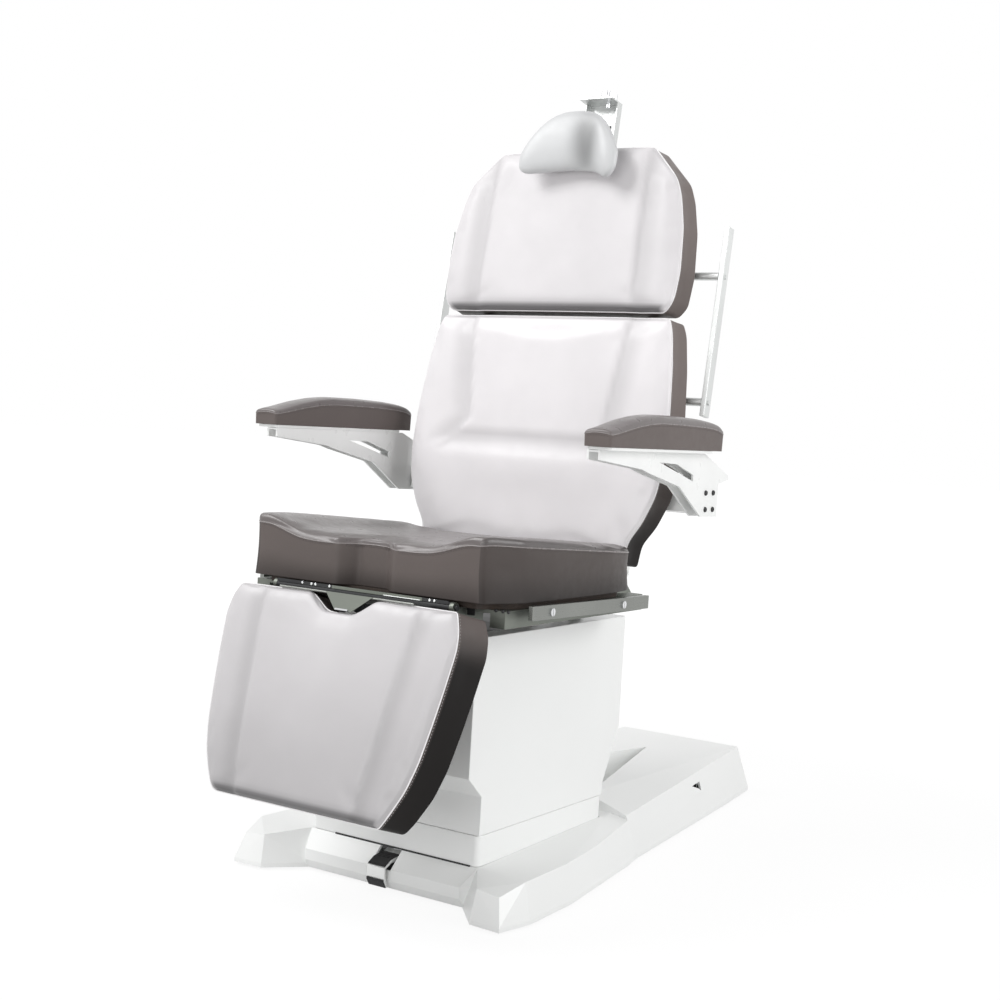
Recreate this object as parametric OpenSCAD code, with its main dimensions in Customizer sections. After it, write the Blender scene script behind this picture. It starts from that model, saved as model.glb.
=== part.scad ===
// Dermatology examination chair with a powered pedestal, tilting seat, folding back,
// swinging leg section, sliding headrest and arm rests that stay level.
// +X is the chair's left side as seen by its sitter, +Y points to the tail, +Z is up.
// Places along Y are laid out from the centre of the lifting column and then shifted,
// so that the origin lies on the floor under the middle of the whole chair.

/* [Floor cover] */
// Widest part of the floor cover, across the front feet
base_w = 628; // [600:2:680]
// Length of the floor cover, front feet to tail
base_l = 1311; // [1290:5:1400]
// Front edge of the floor cover, ahead of the column centre
base_front = 338; // [330:1:350]
// Wall thickness of every moulded cover
cover_wall = 4; // [3:0.5:5]
// Gap between the floor cover and the floor
cover_lift = 4; // [2:1:6]
// Height of the upright lip along the bottom edge
cover_lip = 8; // [5:1:12]
// Height of the deck that the collar stands on
deck_z = 73; // [70:1:80]
// Height of a front foot at its inner front corner
foot_top_in = 64; // [56:1:68]
// Height of a front foot at its outer front corner
foot_top_out = 59; // [50:1:64]
// How far the rear face of the tail leans in
foot_rake = 43; // [30:1:50]
// How far the front face of a foot leans back
foot_step = 15; // [10:1:25]
// Height of the cover's flanks beside the collar
flank_top_z = 76; // [70:1:82]
// Width between the two front feet at the floor
foot_gap = 472; // [440:2:480]
// Width of the bridge between the front feet
bridge_w = 350; // [330:2:370]
// Front edge of the bridge, ahead of the column centre
bridge_front = 266; // [262:1:270]
// Height of the tail's side ridge at the front
ridge_front_z = 86; // [80:1:95]
// Height of the tail's side ridge at the rear
ridge_rear_z = 114; // [100:1:125]
// Height of the raised rim round the tail recess
recess_rim_z = 110; // [104:1:118]
// Half width of the tail recess at its front
recess_w = 128; // [100:2:136]
// Length of the tail recess
recess_l = 500; // [400:5:520]
// Height of the tail recess floor
recess_floor_z = 48; // [46:1:60]

/* [Pedestal] */
// Width of the collar and of the sliding housing
housing_w = 378; // [370:2:392]
// Front face of the collar, ahead of the column centre
collar_front = 246; // [240:1:252]
// Rear face of the collar, behind the column centre
collar_rear = 196; // [190:1:210]
// Top of the collar
collar_top_z = 129; // [122:1:136]
// Front face of the housing's upper part, ahead of the column centre
housing_front = 290; // [280:1:300]
// Rear face of the housing's upper part, behind the column centre
housing_rear = 250; // [240:1:260]
// Top of the housing
housing_top_z = 486; // [480:1:488]
// Height at which the front of the housing starts to lean out
housing_lean_z = 200; // [190:1:215]
// Height at which the front of the housing is full depth
housing_full_z = 238; // [230:1:260]
// Travel of the lifting column
lift_travel = 280; // [200:10:290]
// Width of the outer column profile, side to side
column_w = 170; // [160:2:176]
// Depth of the outer column profile, front to back
column_d = 160; // [150:2:166]
// Wall of the column profiles
column_wall = 8; // [6:1:9]

/* [Seat] */
// Top of the seat board
seat_deck_z = 558; // [556:0.5:560]
// Thickness of every upholstery board
board_t = 12; // [10:1:13]
// Front edge of the seat cushion, ahead of the column centre
seat_front = 378; // [374:1:382]
// Rear edge of the seat cushion, behind the column centre
seat_rear = 106; // [100:1:108]
// Full width of the seat cushion
seat_w = 580; // [560:2:590]
// Height of the seat cushion at its front corners
seat_front_h = 118; // [110:1:130]
// Height of the seat cushion at its rear edge
seat_rear_h = 83; // [76:1:90]
// Depth of the notch in the front of the seat
seat_notch_d = 28; // [20:1:34]
// Height of the seat frame tubes
seat_tube_h = 30; // [28:1:32]
// Full width over the seat frame tubes
seat_frame_w = 550; // [540:2:554]
// Length of a side rail
rail_l = 420; // [380:5:440]
// Height of a rail bar
rail_h = 25; // [20:1:30]
// Thickness of a rail bar
rail_t = 10; // [8:1:12]
// Tilt of the seat at its limit, in degrees
tilt_max = 10; // [4:1:10]

/* [Leg section] */
// Hang of the leg section from the upright, in degrees
leg_lean = 17.6; // [15:0.2:20]
// Swing of the leg section from hanging to level, in degrees
leg_swing = 72; // [60:1:72]
// Hinge of the leg section, ahead of the column centre
leg_hinge_y = 375; // [373:1:377]
// Height of the leg section hinge
leg_hinge_z = 546; // [545:0.5:547]
// Length of the leg cushion
leg_l = 370; // [340:2:380]
// Full width of the leg cushion
leg_w = 554; // [520:2:560]
// Thickness of the leg cushion
leg_t = 66; // [56:1:72]
// Depth of the notch in the top of the leg cushion
leg_notch_d = 30; // [20:1:34]

/* [Back] */
// Lean of the back from the upright, in degrees
back_lean = 9; // [7:0.5:11]
// Travel of the back from upright to flat, in degrees
back_travel = 80; // [70:1:80]
// Hinge of the back, behind the column centre
back_hinge_y = 165; // [163:1:168]
// Height of the back hinge
back_hinge_z = 580; // [578:1:584]
// Width of the lower back cushion at its widest
lower_back_w = 602; // [580:2:610]
// Lower end of the lower back cushion, above the hinge
lower_back_s = 14; // [12:1:20]
// Length of the lower back cushion
lower_back_l = 490; // [470:2:490]
// Width of the upper back cushion at its widest
upper_back_w = 556; // [530:2:570]
// Gap between the two back cushions
back_gap = 9; // [8:1:26]
// Length of the upper back cushion
upper_back_l = 340; // [320:2:340]
// Thickness of the back cushions
back_t = 66; // [58:1:70]
// Length of a grab rail on the back
grab_l = 381; // [340:1:400]

/* [Headrest] */
// Width of the headrest cushion
head_w = 228; // [210:2:250]
// Height of the headrest cushion at its centre
head_h = 130; // [120:1:140]
// Thickness of the headrest cushion
head_t = 44; // [40:1:50]
// Width of the headrest plate
head_plate_w = 78; // [76:1:90]
// Sideways place of the headrest on its plate
head_side = 18; // [0:1:18]
// Slide travel of the headrest
head_travel = 100; // [60:5:100]

/* [Arm rests] */
// Length of an arm pad
arm_l = 446; // [400:2:450]
// Width of an arm pad
arm_w = 58; // [52:1:60]
// Middle of an arm pad, out from the chair's centre
arm_x = 370; // [368:1:374]
// Underside of an arm pad
arm_z = 830; // [826:1:834]
// Front end of an arm pad, ahead of the column centre
arm_front = 236; // [225:1:240]

/* [Hidden] */

// Shared small sizes
$fn = 48;
fit = 0.05;
seat_gap = 0.3;
panel_gap = 0.6;
cut = 1;
skin = 0.5;

// Floor cover outline: share of the half width, share of the length from the front
base_side_shares = [[0.952, 0], [1, 0.057], [0.984, 0.168], [0.920, 0.278], [0.850, 0.394],
  [0.812, 0.437], [0.748, 0.530], [0.678, 0.729], [0.618, 0.860], [0.541, 1]];
base_rear = base_l - base_front;
seam_y = housing_rear - 15;

// Column, drive and covers
column_base_z = 48;
column_top_z = 430;
inner_column_bottom_z = 92;
inner_column_top_z = 468;
frame_tube_w = 40;
frame_z = 12;
frame_h = 24;
frame_x_share = 0.223;
frame_x = base_w * frame_x_share;
frame_rear = 860;
frame_front = 248;
frame_cross_l = 500;
column_plate = 250;
post_r = 8;
post_x = 165;
post_y = 130;
shroud_gap = 6;
inner_shroud_wall = 4;
inner_shroud_top_z = 452;

// Carrier on the column head
carrier_t = 8;
carrier_z = inner_column_top_z;
carrier_front = 195;
carrier_rear = 200;
ear_t = 8;
ear_x = 114;
ear_r = 13;
tilt_y = back_hinge_y;
tilt_z = 503;
tilt_pin_r = 8;
tilt_arm = 340;
tilt_rod_r = 8;

// Drives under the seat
drive_z = 520;
drive_r = 17;
drive_x = 60;
back_lever = back_hinge_z - drive_z;
leg_lever = leg_hinge_z - drive_z;
back_stroke = 2 * back_lever * tan(back_travel / 2);
leg_stroke = 2 * leg_lever * tan(leg_swing / 2);
tilt_stroke = tilt_arm * tan(tilt_max);
back_pin_y = back_hinge_y + back_stroke / 2;
leg_pin_y = -leg_hinge_y + leg_stroke / 2;
back_rod_r = 8;
back_pin_r = 6;
leg_rod_r = 7;
leg_pin_r = 4;
slot_play = 2.6;
lever_t = 10;

// Seat frame
seat_tube_z = seat_deck_z - board_t - seat_tube_h;
bar_t = 6;
bar_w = 50;
bar_z = seat_deck_z - board_t - bar_t;
seat_tube_front = 340;
seat_tube_rear = 150;
inner_rail_x = 128;
hinge_ear_x = 217;
hinge_ear_t = 6;
hinge_ear_r = 12;
hinge_pin_r = 6;
leg_ear_x = 190;
leg_ear_t = 8;
leg_ear_r = 9.5;
leg_shaft_r = 5;
leg_sleeve_r = 9;
mid_bar_y = -tilt_arm + tilt_y;
rear_bar_y = 95;
rail_x = 300;
rail_front = 300;
rail_front_z = 543;
rail_drop = 7;
rail_screw_ys = [-239, 18];
spacer_r = 7;
screw_head_r = 7;
screw_head_t = 3;

// Leg section
leg_pad_s = 13;
// Width of a pad's back face as a share of its front face
pad_foot = 1.02;
leg_pad_front = 65;
leg_board_s = 13;
plate_t = 3;
leg_plate_s = 10;
leg_arm_x = 150;
leg_tube = 25;

// Back
side_plate_t = 5;
side_plate_x = 211;
back_tube = 25;
back_tube_x = 186;
back_cushion_back = 10;
upper_back_s = lower_back_s + lower_back_l + back_gap;
upper_back_top = upper_back_s + upper_back_l;
grab_x = 330;
grab_s = 325;
grab_y = 40;
standoff_s = [353, 606];
standoff_r = 10;

// Arm linkage: pivot on the back, and the link's offset from it
arm_pivot_s = 158;
arm_pivot_back = 47;
arm_pivot_y = back_hinge_y + arm_pivot_s * sin(back_lean) + arm_pivot_back * cos(back_lean);
arm_pivot_z = back_hinge_z + arm_pivot_s * cos(back_lean) - arm_pivot_back * sin(back_lean);
link_offset = 52;
link_mid = atan2(arm_pivot_y - back_hinge_y, arm_pivot_z - back_hinge_z) + back_travel / 2;
link_dy = link_offset * cos(link_mid);
link_dz = -link_offset * sin(link_mid);
link_x = 166;
link_t = 8;
link_r = 9;
link_pin_r = 6;
crank_x = link_x + link_t + 2;
arm_shaft_r = 8;
outrigger_x = 343;
outrigger_r = 14;
outrigger_h = 46;
cheek_in_x = 346;
cheek_out_x = 368;
cheek_t = 4;

// Headrest
head_plate_y = 50;
head_plate_top = 982;
head_plate_bottom = 600;
head_flange = 44;
head_arm_s = 872;
head_arm_h = 12;
head_arm_w = 40;
head_pivot_y = -44;
head_pivot_r = 5;
head_mid_y = -83;
head_top_s = 918;
knob_r = 17;
knob_h = 16;

// The origin sits halfway between the foot of the leg cushion and the tail of the floor cover
end_share = 0.05;
leg_crown = 7;
front_share = 0.985;
front_reach = leg_hinge_y + sin(leg_lean) * (leg_pad_s + leg_l * front_share)
  + cos(leg_lean) * (leg_pad_front - leg_t + leg_face(front_share, 0));
mid_y = (base_rear - front_reach) / 2;

// Frames of the moving sections
module layout() translate([0, -mid_y, 0]) children();
module back_place() layout() translate([0, back_hinge_y, back_hinge_z]) rotate([-back_lean, 0, 0]) children();
module leg_place() layout() translate([0, -leg_hinge_y, leg_hinge_z]) rotate([-leg_lean, 0, 0]) children();
module both() { children(); mirror([1, 0, 0]) children(); }
module block(x, y, z) translate([x[0], y[0], z[0]]) cube([x[1] - x[0], y[1] - y[0], z[1] - z[0]]);
module rod_x(r, x) translate([x[0], 0, 0]) rotate([0, 90, 0]) cylinder(r = r, h = x[1] - x[0]);
module rod_y(r, y) translate([0, y[0], 0]) rotate([-90, 0, 0]) cylinder(r = r, h = y[1] - y[0]);
// A plate across X whose outline is given in Y and Z
module plate_x(x, outline) translate([x[0], 0, 0]) rotate([90, 0, 90]) linear_extrude(x[1] - x[0]) polygon(outline);
module round_rect(x, y, r) {
  translate([x[0] + r, y[0]]) square([x[1] - x[0] - 2 * r, y[1] - y[0]]);
  translate([x[0], y[0] + r]) square([x[1] - x[0], y[1] - y[0] - 2 * r]);
  for (px = [x[0] + r, x[1] - r]) for (py = [y[0] + r, y[1] - r]) translate([px, py]) circle(r = r);
}
function mirror_outline(pts) = concat(pts, [for (i = [len(pts) - 1:-1:0]) [-pts[i][0], pts[i][1]]]);

// Soft forms. A pad is a closed stack of rings along its length. A ring runs along the flat back,
// up one drawn-in side, across the crowned face and down the other side.
half_shares = [0, 0.13, 0.25, 0.38, 0.48, 0.58, 0.67, 0.76, 0.85, 0.93, 1];
half_count = len(half_shares) - 1;
across_shares = concat([for (i = [half_count:-1:1]) -half_shares[i]], half_shares);
row = len(across_shares);
side_shares = [0.28, 0.62, 0.88];
draw_share = 0.012;
function side_reach(foot, v) = foot + (1 - foot) * v - draw_share * sin(180 * v);
function pad_ring(half, foot, face) = concat(
  [for (i = [row - 1:-1:0]) [half * foot * across_shares[i], 0]],
  [for (v = side_shares) [-half * side_reach(foot, v), face(-1) * v]],
  [for (a = across_shares) [half * a, face(a)]],
  [for (i = [len(side_shares) - 1:-1:0]) [half * side_reach(foot, side_shares[i]), face(1) * side_shares[i]]]);
// End cap of a pad: strips from its back row to its face row, and a fan at either side
pad_cap = concat(
  [for (k = [0:row - 2]) each [[row - 2 - k, row - 1 - k, row + 3 + k], [row - 2 - k, row + 3 + k, row + 4 + k]]],
  [for (i = [0:2]) each [[row - 1, row + i, row + i + 1], [0, 2 * row + 2 + i, 2 * row + 3 + i]]]);
// Joins rings of points into one closed skin of triangles. Without a cap the ends are fans.
module skin_rings(rings, cap = []) {
  k = len(rings);
  m = len(rings[0]);
  centre = function(r) [for (c = [0:2]) [for (p = r) p[c]] * [for (p = r) 1] / m];
  pts = concat([for (r = rings) each r], len(cap) > 0 ? [] : [centre(rings[0]), centre(rings[k - 1])]);
  sides = [for (j = [0:k - 2]) for (i = [0:m - 1]) let(n = (i + 1) % m)
    each [[j * m + i, j * m + n, (j + 1) * m + i], [j * m + n, (j + 1) * m + n, (j + 1) * m + i]]];
  ends = len(cap) > 0 ? [for (c = cap) each [[c[2], c[1], c[0]], [for (i = c) (k - 1) * m + i]]]
    : [for (i = [0:m - 1]) let(n = (i + 1) % m) each [[k * m, n, i], [k * m + 1, (k - 1) * m + i, (k - 1) * m + n]]];
  polyhedron(points = pts, faces = concat(sides, ends), convexity = 6);
}
// Rise of a pad's face at its two ends: 0 at the end itself, 1 from end_share of the length on
function end_rise(t) = let(d = min(t, 1 - t) / end_share) d >= 1 ? 1 : sqrt(max(0, 1 - pow(1 - d, 2)));
function crown(a) = 1 - pow(abs(a), 3);
function bell(x, w) = exp(-pow(x / w, 2));
// Depth share of a notch with slanted sides, by the place across the pad
function notch(x, outer, inner) = max(0, min(1, (outer - abs(x)) / (outer - inner)));

// Fixed pedestal
module base_frame() color("dimgray") layout() {
  difference() {
    union() {
      both() block([frame_x - frame_tube_w / 2, frame_x + frame_tube_w / 2], [-frame_front, frame_rear], [frame_z, frame_z + frame_h]);
      block([-frame_cross_l / 2, frame_cross_l / 2], [-frame_front, -frame_front + frame_tube_w], [frame_z, frame_z + frame_h]);
      block([-frame_x, frame_x], [frame_rear - frame_tube_w, frame_rear], [frame_z, frame_z + frame_h]);
      block([-post_x - post_r, post_x + post_r], [-column_plate / 2, column_plate / 2], [frame_z + frame_h - cut, column_base_z]);
      both() for (y = [-post_y + 2 * post_r, post_y - 2 * post_r])
        translate([post_x, y, column_base_z - cut]) cylinder(r = post_r, h = deck_z - cover_wall - seat_gap - column_base_z + cut);
    }
    for (p = column_bolt_places()) translate([p[0], p[1], frame_z]) cylinder(r = bolt_r + fit, h = column_base_z);
    for (p = foot_places()) translate([p[0], p[1], 0]) cylinder(r = foot_stud_r + fit, h = frame_z + frame_h - cover_wall);
  }
}
bolt_r = 5;
foot_stud_r = 5;
foot_r = 24;
foot_pad_h = 9;
column_flange = 15;
function column_bolt_places() = [for (x = [-1, 1]) for (y = [-1, 1])
  [x * (column_w / 2 + column_flange / 2 + bolt_r / 2), y * column_d / 2 * 0.8]];
function foot_places() = concat(
  [for (x = [-1, 1]) [x * (frame_cross_l / 2 - foot_r), -frame_front + frame_tube_w / 2]],
  [for (x = [-1, 1]) [x * frame_x, frame_rear - frame_tube_w / 2]]);

module levelling_feet() color("black") layout()
  for (p = foot_places()) translate([p[0], p[1], 0]) {
    cylinder(r = foot_r, h = foot_pad_h);
    cylinder(r = foot_stud_r, h = frame_z + frame_h - 2 * cover_wall);
  }

// One corner stack of the floor cover, with every point moved in by the inset
module cover_stack(low, high, inset) hull() {
  translate([0, 0, inset > 0 ? -cut : cover_lift]) linear_extrude(cover_lip - inset / 2) polygon(low);
  for (p = high) translate([p[0], p[1], p[2] - inset]) cube([skin, skin, skin], center = true);
}
function side_point(i, inset) = [base_side_shares[i][0] * base_w / 2 - inset, -base_front + base_side_shares[i][1] * base_l];
flank_in = 13;
function flank_top(i, inset) = [side_point(i, inset)[0] - flank_in, side_point(i, 0)[1], flank_top_z];
module front_foot(inset) {
  tip_y = -base_front + inset;
  top_y = tip_y + foot_step;
  cover_stack(
    [[foot_gap / 2 + inset, tip_y + cover_wall], [side_point(0, inset)[0], tip_y], side_point(1, inset), side_point(2, inset),
      side_point(3, inset), [housing_w / 2 - 2 * inset, side_point(3, 0)[1]], [bridge_w / 2 + inset, -bridge_front + inset]],
    [[foot_gap / 2 + cover_wall + inset, top_y, foot_top_in], [side_point(0, inset)[0] - flank_in, top_y, foot_top_out],
      flank_top(1, inset), flank_top(2, inset), flank_top(3, inset),
      [housing_w / 2 - inset, -collar_front + inset, deck_z], [housing_w / 2 - inset, side_point(3, 0)[1], deck_z]], inset);
}
module middle_body(inset) cover_stack(
  concat([[bridge_w / 2 + 2 * cover_wall, -bridge_front + inset]], [for (i = [2:5]) side_point(i, inset)],
    [[-side_point(5, inset)[0], side_point(5, 0)[1]]], [for (i = [4:-1:2]) [-side_point(i, inset)[0], side_point(i, 0)[1]]],
    [[-bridge_w / 2 - 2 * cover_wall, -bridge_front + inset]]),
  [for (x = [-1, 1]) each [[x * (bridge_w / 2 - inset), -bridge_front - nose_out + inset, nose_low_z],
    [x * (bridge_w / 2 - inset), -bridge_front - nose_out + inset, nose_high_z + inset / 2],
    [x * (bridge_w / 2 - inset), -bridge_front + inset, nose_top_z],
    [x * (housing_w / 2 - inset), -collar_front + inset, deck_z],
    for (i = [2, 3]) [x * flank_top(i, inset)[0], flank_top(i, inset)[1], flank_top_z],
    [x * (housing_w / 2 + foot_rake - inset), side_point(5, 0)[1], ridge_front_z - cover_lip],
    [x * (housing_w / 2 - inset), side_point(5, 0)[1], ridge_front_z]]], inset);
// Rounded nose along the front of the bridge
nose_out = 13;
nose_low_z = 22;
nose_high_z = 42;
nose_top_z = 53;
module base_cover() color("white") layout() difference() {
  union() {
    both() front_foot(0);
    middle_body(0);
  }
  both() front_foot(cover_wall);
  middle_body(cover_wall);
  // The rear is open towards the tail cover, and the collar stands in a pocket
  block([-base_w, base_w], [seam_y - panel_gap, base_rear], [-cut, housing_top_z]);
  block([-housing_w / 2 - panel_gap, housing_w / 2 + panel_gap], [-collar_front - panel_gap, collar_rear + panel_gap], [deck_z, housing_top_z]);
  block([-housing_w / 2 + 4 * cover_wall, housing_w / 2 - 4 * cover_wall], [-carrier_front, collar_rear - 3 * cover_wall], [frame_z, housing_top_z]);
  // Slot that the brake pedal comes out of
  block([-pedal_w / 2 - cover_wall, pedal_w / 2 + cover_wall], [-base_front, -collar_front + 2 * cover_wall], [pedal_slot_z, deck_z + cut]);
}
module tail_mass(inset) {
  hull() {
    translate([0, 0, inset > 0 ? -cut : cover_lift]) linear_extrude(cover_lip - inset / 2) polygon(mirror_outline(concat(
      [[side_point(5, inset)[0], seam_y + 2 * inset]], [for (i = [6:8]) side_point(i, inset)],
      [[side_point(9, inset)[0], base_rear - inset]])));
    for (x = [-1, 1]) {
      for (p = tail_ridge()) translate([x * (p[0] - inset), p[1] + (p[1] < 2 * housing_rear ? 2 * inset : -inset), p[2] - inset]) cube([skin, skin, skin], center = true);
      translate([x * recess_w, recess_front + 2 * inset, recess_rim_z - inset]) cube([skin, skin, skin], center = true);
    }
    translate([0, recess_front + recess_l + cover_lip, recess_rim_z + cover_wall - inset]) cube([skin, skin, skin], center = true);
  }
}
recess_front = seam_y + 18;
// Side ridge of the tail: place out, place back, height
function tail_ridge() = [
  [base_w / 2 * 0.72, seam_y + skin, ridge_front_z],
  [base_w / 2 * 0.665, seam_y + base_l * 0.09, ridge_front_z + cover_wall],
  [base_w / 2 * 0.573, seam_y + base_l * 0.29, (ridge_front_z + ridge_rear_z) / 2],
  [base_w / 2 * 0.49, base_rear - foot_rake, ridge_rear_z]];
module recess_outline(grow) polygon([[recess_w + grow, recess_front - grow], [grow, recess_front + recess_l + 2 * grow],
  [-grow, recess_front + recess_l + 2 * grow], [-recess_w - grow, recess_front - grow]]);
module rear_cover() color("white") layout() difference() {
  union() {
    difference() {
      tail_mass(0);
      tail_mass(cover_wall);
    }
    intersection() {
      tail_mass(0);
      translate([0, 0, recess_floor_z - cover_wall]) linear_extrude(ridge_rear_z) recess_outline(cover_wall);
    }
  }
  translate([0, 0, recess_floor_z]) linear_extrude(ridge_rear_z) recess_outline(0);
  both() block([frame_x - frame_tube_w / 2 - panel_gap, frame_x + frame_tube_w / 2 + panel_gap], [seam_y - cut, seam_y + 3 * cover_wall], [-cut, frame_z + frame_h + panel_gap]);
  socket_cut();
}
// Socket panel on the tail's side, in its own frame: X along the tail, Y into it, Z up
panel_w = 74;
panel_h = 44;
panel_t = 3;
panel_y = 610;
panel_z = 62;
panel_turn = 84.2;
panel_tip = 13;
panel_side_share = 0.2818;
panel_x = base_w * panel_side_share;
module panel_place() translate([panel_x, panel_y, panel_z]) rotate([0, 0, panel_turn]) rotate([panel_tip, 0, 0]) children();
module socket_cut() panel_place() {
  block([-panel_w / 2 + cover_wall, panel_w / 2 - cover_wall], [-2 * cover_wall, 6 * cover_wall], [-panel_h / 2 + cover_wall, panel_h / 2 - cover_wall]);
  block([-panel_w / 2 - seat_gap, panel_w / 2 + seat_gap], [-4 * cover_wall, seat_gap], [-panel_h / 2 - seat_gap, panel_h / 2 + seat_gap]);
}
socket_r = 8;
socket_wall = 2;
socket_l = 22;
inlet_w = 28;
inlet_h = 22;
inlet_l = 26;
switch_w = 12;
switch_h = 20;
switch_l = 14;
inlet_x = -18;
switch_x = 5;
socket_xs = [26];
module socket_panel() color("gainsboro") layout() panel_place() difference() {
  block([-panel_w / 2, panel_w / 2], [-panel_t, 0], [-panel_h / 2, panel_h / 2]);
  block([inlet_x - inlet_w / 2 - fit, inlet_x + inlet_w / 2 + fit], [-panel_t - cut, cut], [-inlet_h / 2 - fit, inlet_h / 2 + fit]);
  block([switch_x - switch_w / 2 - panel_gap, switch_x + switch_w / 2 + panel_gap], [-panel_t - cut, cut], [-switch_h / 2 - panel_gap, switch_h / 2 + panel_gap]);
  for (x = socket_xs) for (z = [-1, 1]) translate([x, 0, z * panel_h / 4]) rod_y(socket_r + fit, [-panel_t - cut, cut]);
}
module power_inlet() color("black") layout() panel_place() difference() {
  block([inlet_x - inlet_w / 2, inlet_x + inlet_w / 2], [-panel_t - cut, inlet_l], [-inlet_h / 2, inlet_h / 2]);
  block([inlet_x - inlet_w / 2 + socket_wall, inlet_x + inlet_w / 2 - socket_wall], [-panel_t - 2 * cut, inlet_l - 4 * socket_wall], [-inlet_h / 2 + socket_wall, inlet_h / 2 - socket_wall]);
}
module signal_sockets() color("black") layout() panel_place()
  for (x = socket_xs) for (z = [-1, 1]) translate([x, 0, z * panel_h / 4]) difference() {
    rod_y(socket_r, [-panel_t - cut, socket_l]);
    rod_y(socket_r - socket_wall, [-panel_t - 2 * cut, socket_l - 3 * socket_wall]);
  }
module mains_switch() color("black") layout() panel_place()
  translate([switch_x, switch_l / 2 - panel_t, 0]) intersection() {
    rod_x(switch_l / 2 + panel_t, [-switch_w / 2, switch_w / 2]);
    block([-switch_w / 2, switch_w / 2], [-switch_l, switch_l], [-switch_h / 2 + cut, switch_h / 2 - cut]);
  }
module pedestal_collar() color("white") layout() difference() {
  translate([0, 0, deck_z + seat_gap]) linear_extrude(collar_top_z - deck_z - seat_gap)
    round_rect([-housing_w / 2, housing_w / 2], [-collar_front, collar_rear], 3 * cover_wall);
  translate([0, 0, deck_z - cut]) linear_extrude(collar_top_z - cover_wall - deck_z + cut)
    round_rect([-housing_w / 2 + cover_wall, housing_w / 2 - cover_wall], [-collar_front + cover_wall, collar_rear - cover_wall], 2 * cover_wall);
  translate([0, 0, deck_z]) linear_extrude(collar_top_z) round_rect(
    [-inner_shroud_x - seat_gap, inner_shroud_x + seat_gap], [-inner_shroud_front - seat_gap, inner_shroud_rear + seat_gap], 2 * cover_wall);
}
inner_shroud_x = housing_w / 2 - cover_wall - shroud_gap;
inner_shroud_front = collar_front - cover_wall - shroud_gap;
inner_shroud_rear = collar_rear - cover_wall - shroud_gap;
module inner_shroud() color("white") layout() translate([0, 0, deck_z + seat_gap]) linear_extrude(inner_shroud_top_z - deck_z) difference() {
  round_rect([-inner_shroud_x, inner_shroud_x], [-inner_shroud_front, inner_shroud_rear], 2 * cover_wall);
  round_rect([-inner_shroud_x + inner_shroud_wall, inner_shroud_x - inner_shroud_wall],
    [-inner_shroud_front + inner_shroud_wall, inner_shroud_rear - inner_shroud_wall], cover_wall);
}
module lift_column_outer() color("silver") layout() difference() {
  union() {
    block([-column_w / 2, column_w / 2], [-column_d / 2, column_d / 2], [column_base_z, column_top_z]);
    block([-column_w / 2 - column_flange, column_w / 2 + column_flange], [-column_d / 2, column_d / 2], [column_base_z, column_base_z + column_wall]);
  }
  block([-column_w / 2 + column_wall, column_w / 2 - column_wall], [-column_d / 2 + column_wall, column_d / 2 - column_wall], [column_base_z + column_wall, column_top_z + cut]);
  for (p = column_bolt_places()) translate([p[0], p[1], 0]) cylinder(r = bolt_r + fit, h = column_base_z + 2 * column_wall);
}
module column_bolts() color("dimgray") layout() for (p = column_bolt_places()) translate([p[0], p[1], 0]) {
  translate([0, 0, frame_z + frame_h]) cylinder(r = bolt_r, h = column_base_z - frame_z - frame_h + column_wall + cut);
  translate([0, 0, column_base_z + column_wall]) cylinder(r = 1.6 * bolt_r, h = bolt_r);
}
drive_box = 70;
drive_tube_r = 21;
lift_rod_r = 14;
module lift_drive() color("dimgray") layout() difference() {
  union() {
    block([-drive_box / 2, drive_box / 2], [-drive_box / 2, drive_box / 2], [column_base_z + column_wall, inner_column_bottom_z - 2 * cover_wall]);
    translate([0, 0, column_base_z + column_wall]) cylinder(r = drive_tube_r, h = column_top_z - column_base_z - 2 * column_wall);
  }
  translate([0, 0, inner_column_bottom_z]) cylinder(r = lift_rod_r + fit, h = column_top_z);
}
control_w = 120;
control_l = 150;
control_h = 29;
// The box hangs from the recess floor
control_top_z = recess_floor_z - cover_wall - seat_gap;
module control_box() color("darkslategray") layout()
  block([-control_w / 2, control_w / 2], [frame_rear - 3 * frame_tube_w - control_l, frame_rear - 3 * frame_tube_w], [control_top_z - control_h, control_top_z]);
pedal_w = 40;
pedal_t = 5;
pedal_hinge_y = -232;
pedal_hinge_z = 57;
pedal_shaft_r = 5;
pedal_hub_r = 9;
pedal_slot_z = 40;
pedal_front = 293;
pedal_low_z = 9;
module pedal_shaft() color("silver") layout() {
  translate([0, pedal_hinge_y, pedal_hinge_z]) rod_x(pedal_shaft_r, [-pedal_w, pedal_w]);
  both() block([pedal_w, pedal_w + pedal_t], [pedal_hinge_y - pedal_hub_r, pedal_hinge_y + pedal_hub_r], [frame_z + frame_h, pedal_hinge_z + pedal_shaft_r]);
}
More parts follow.
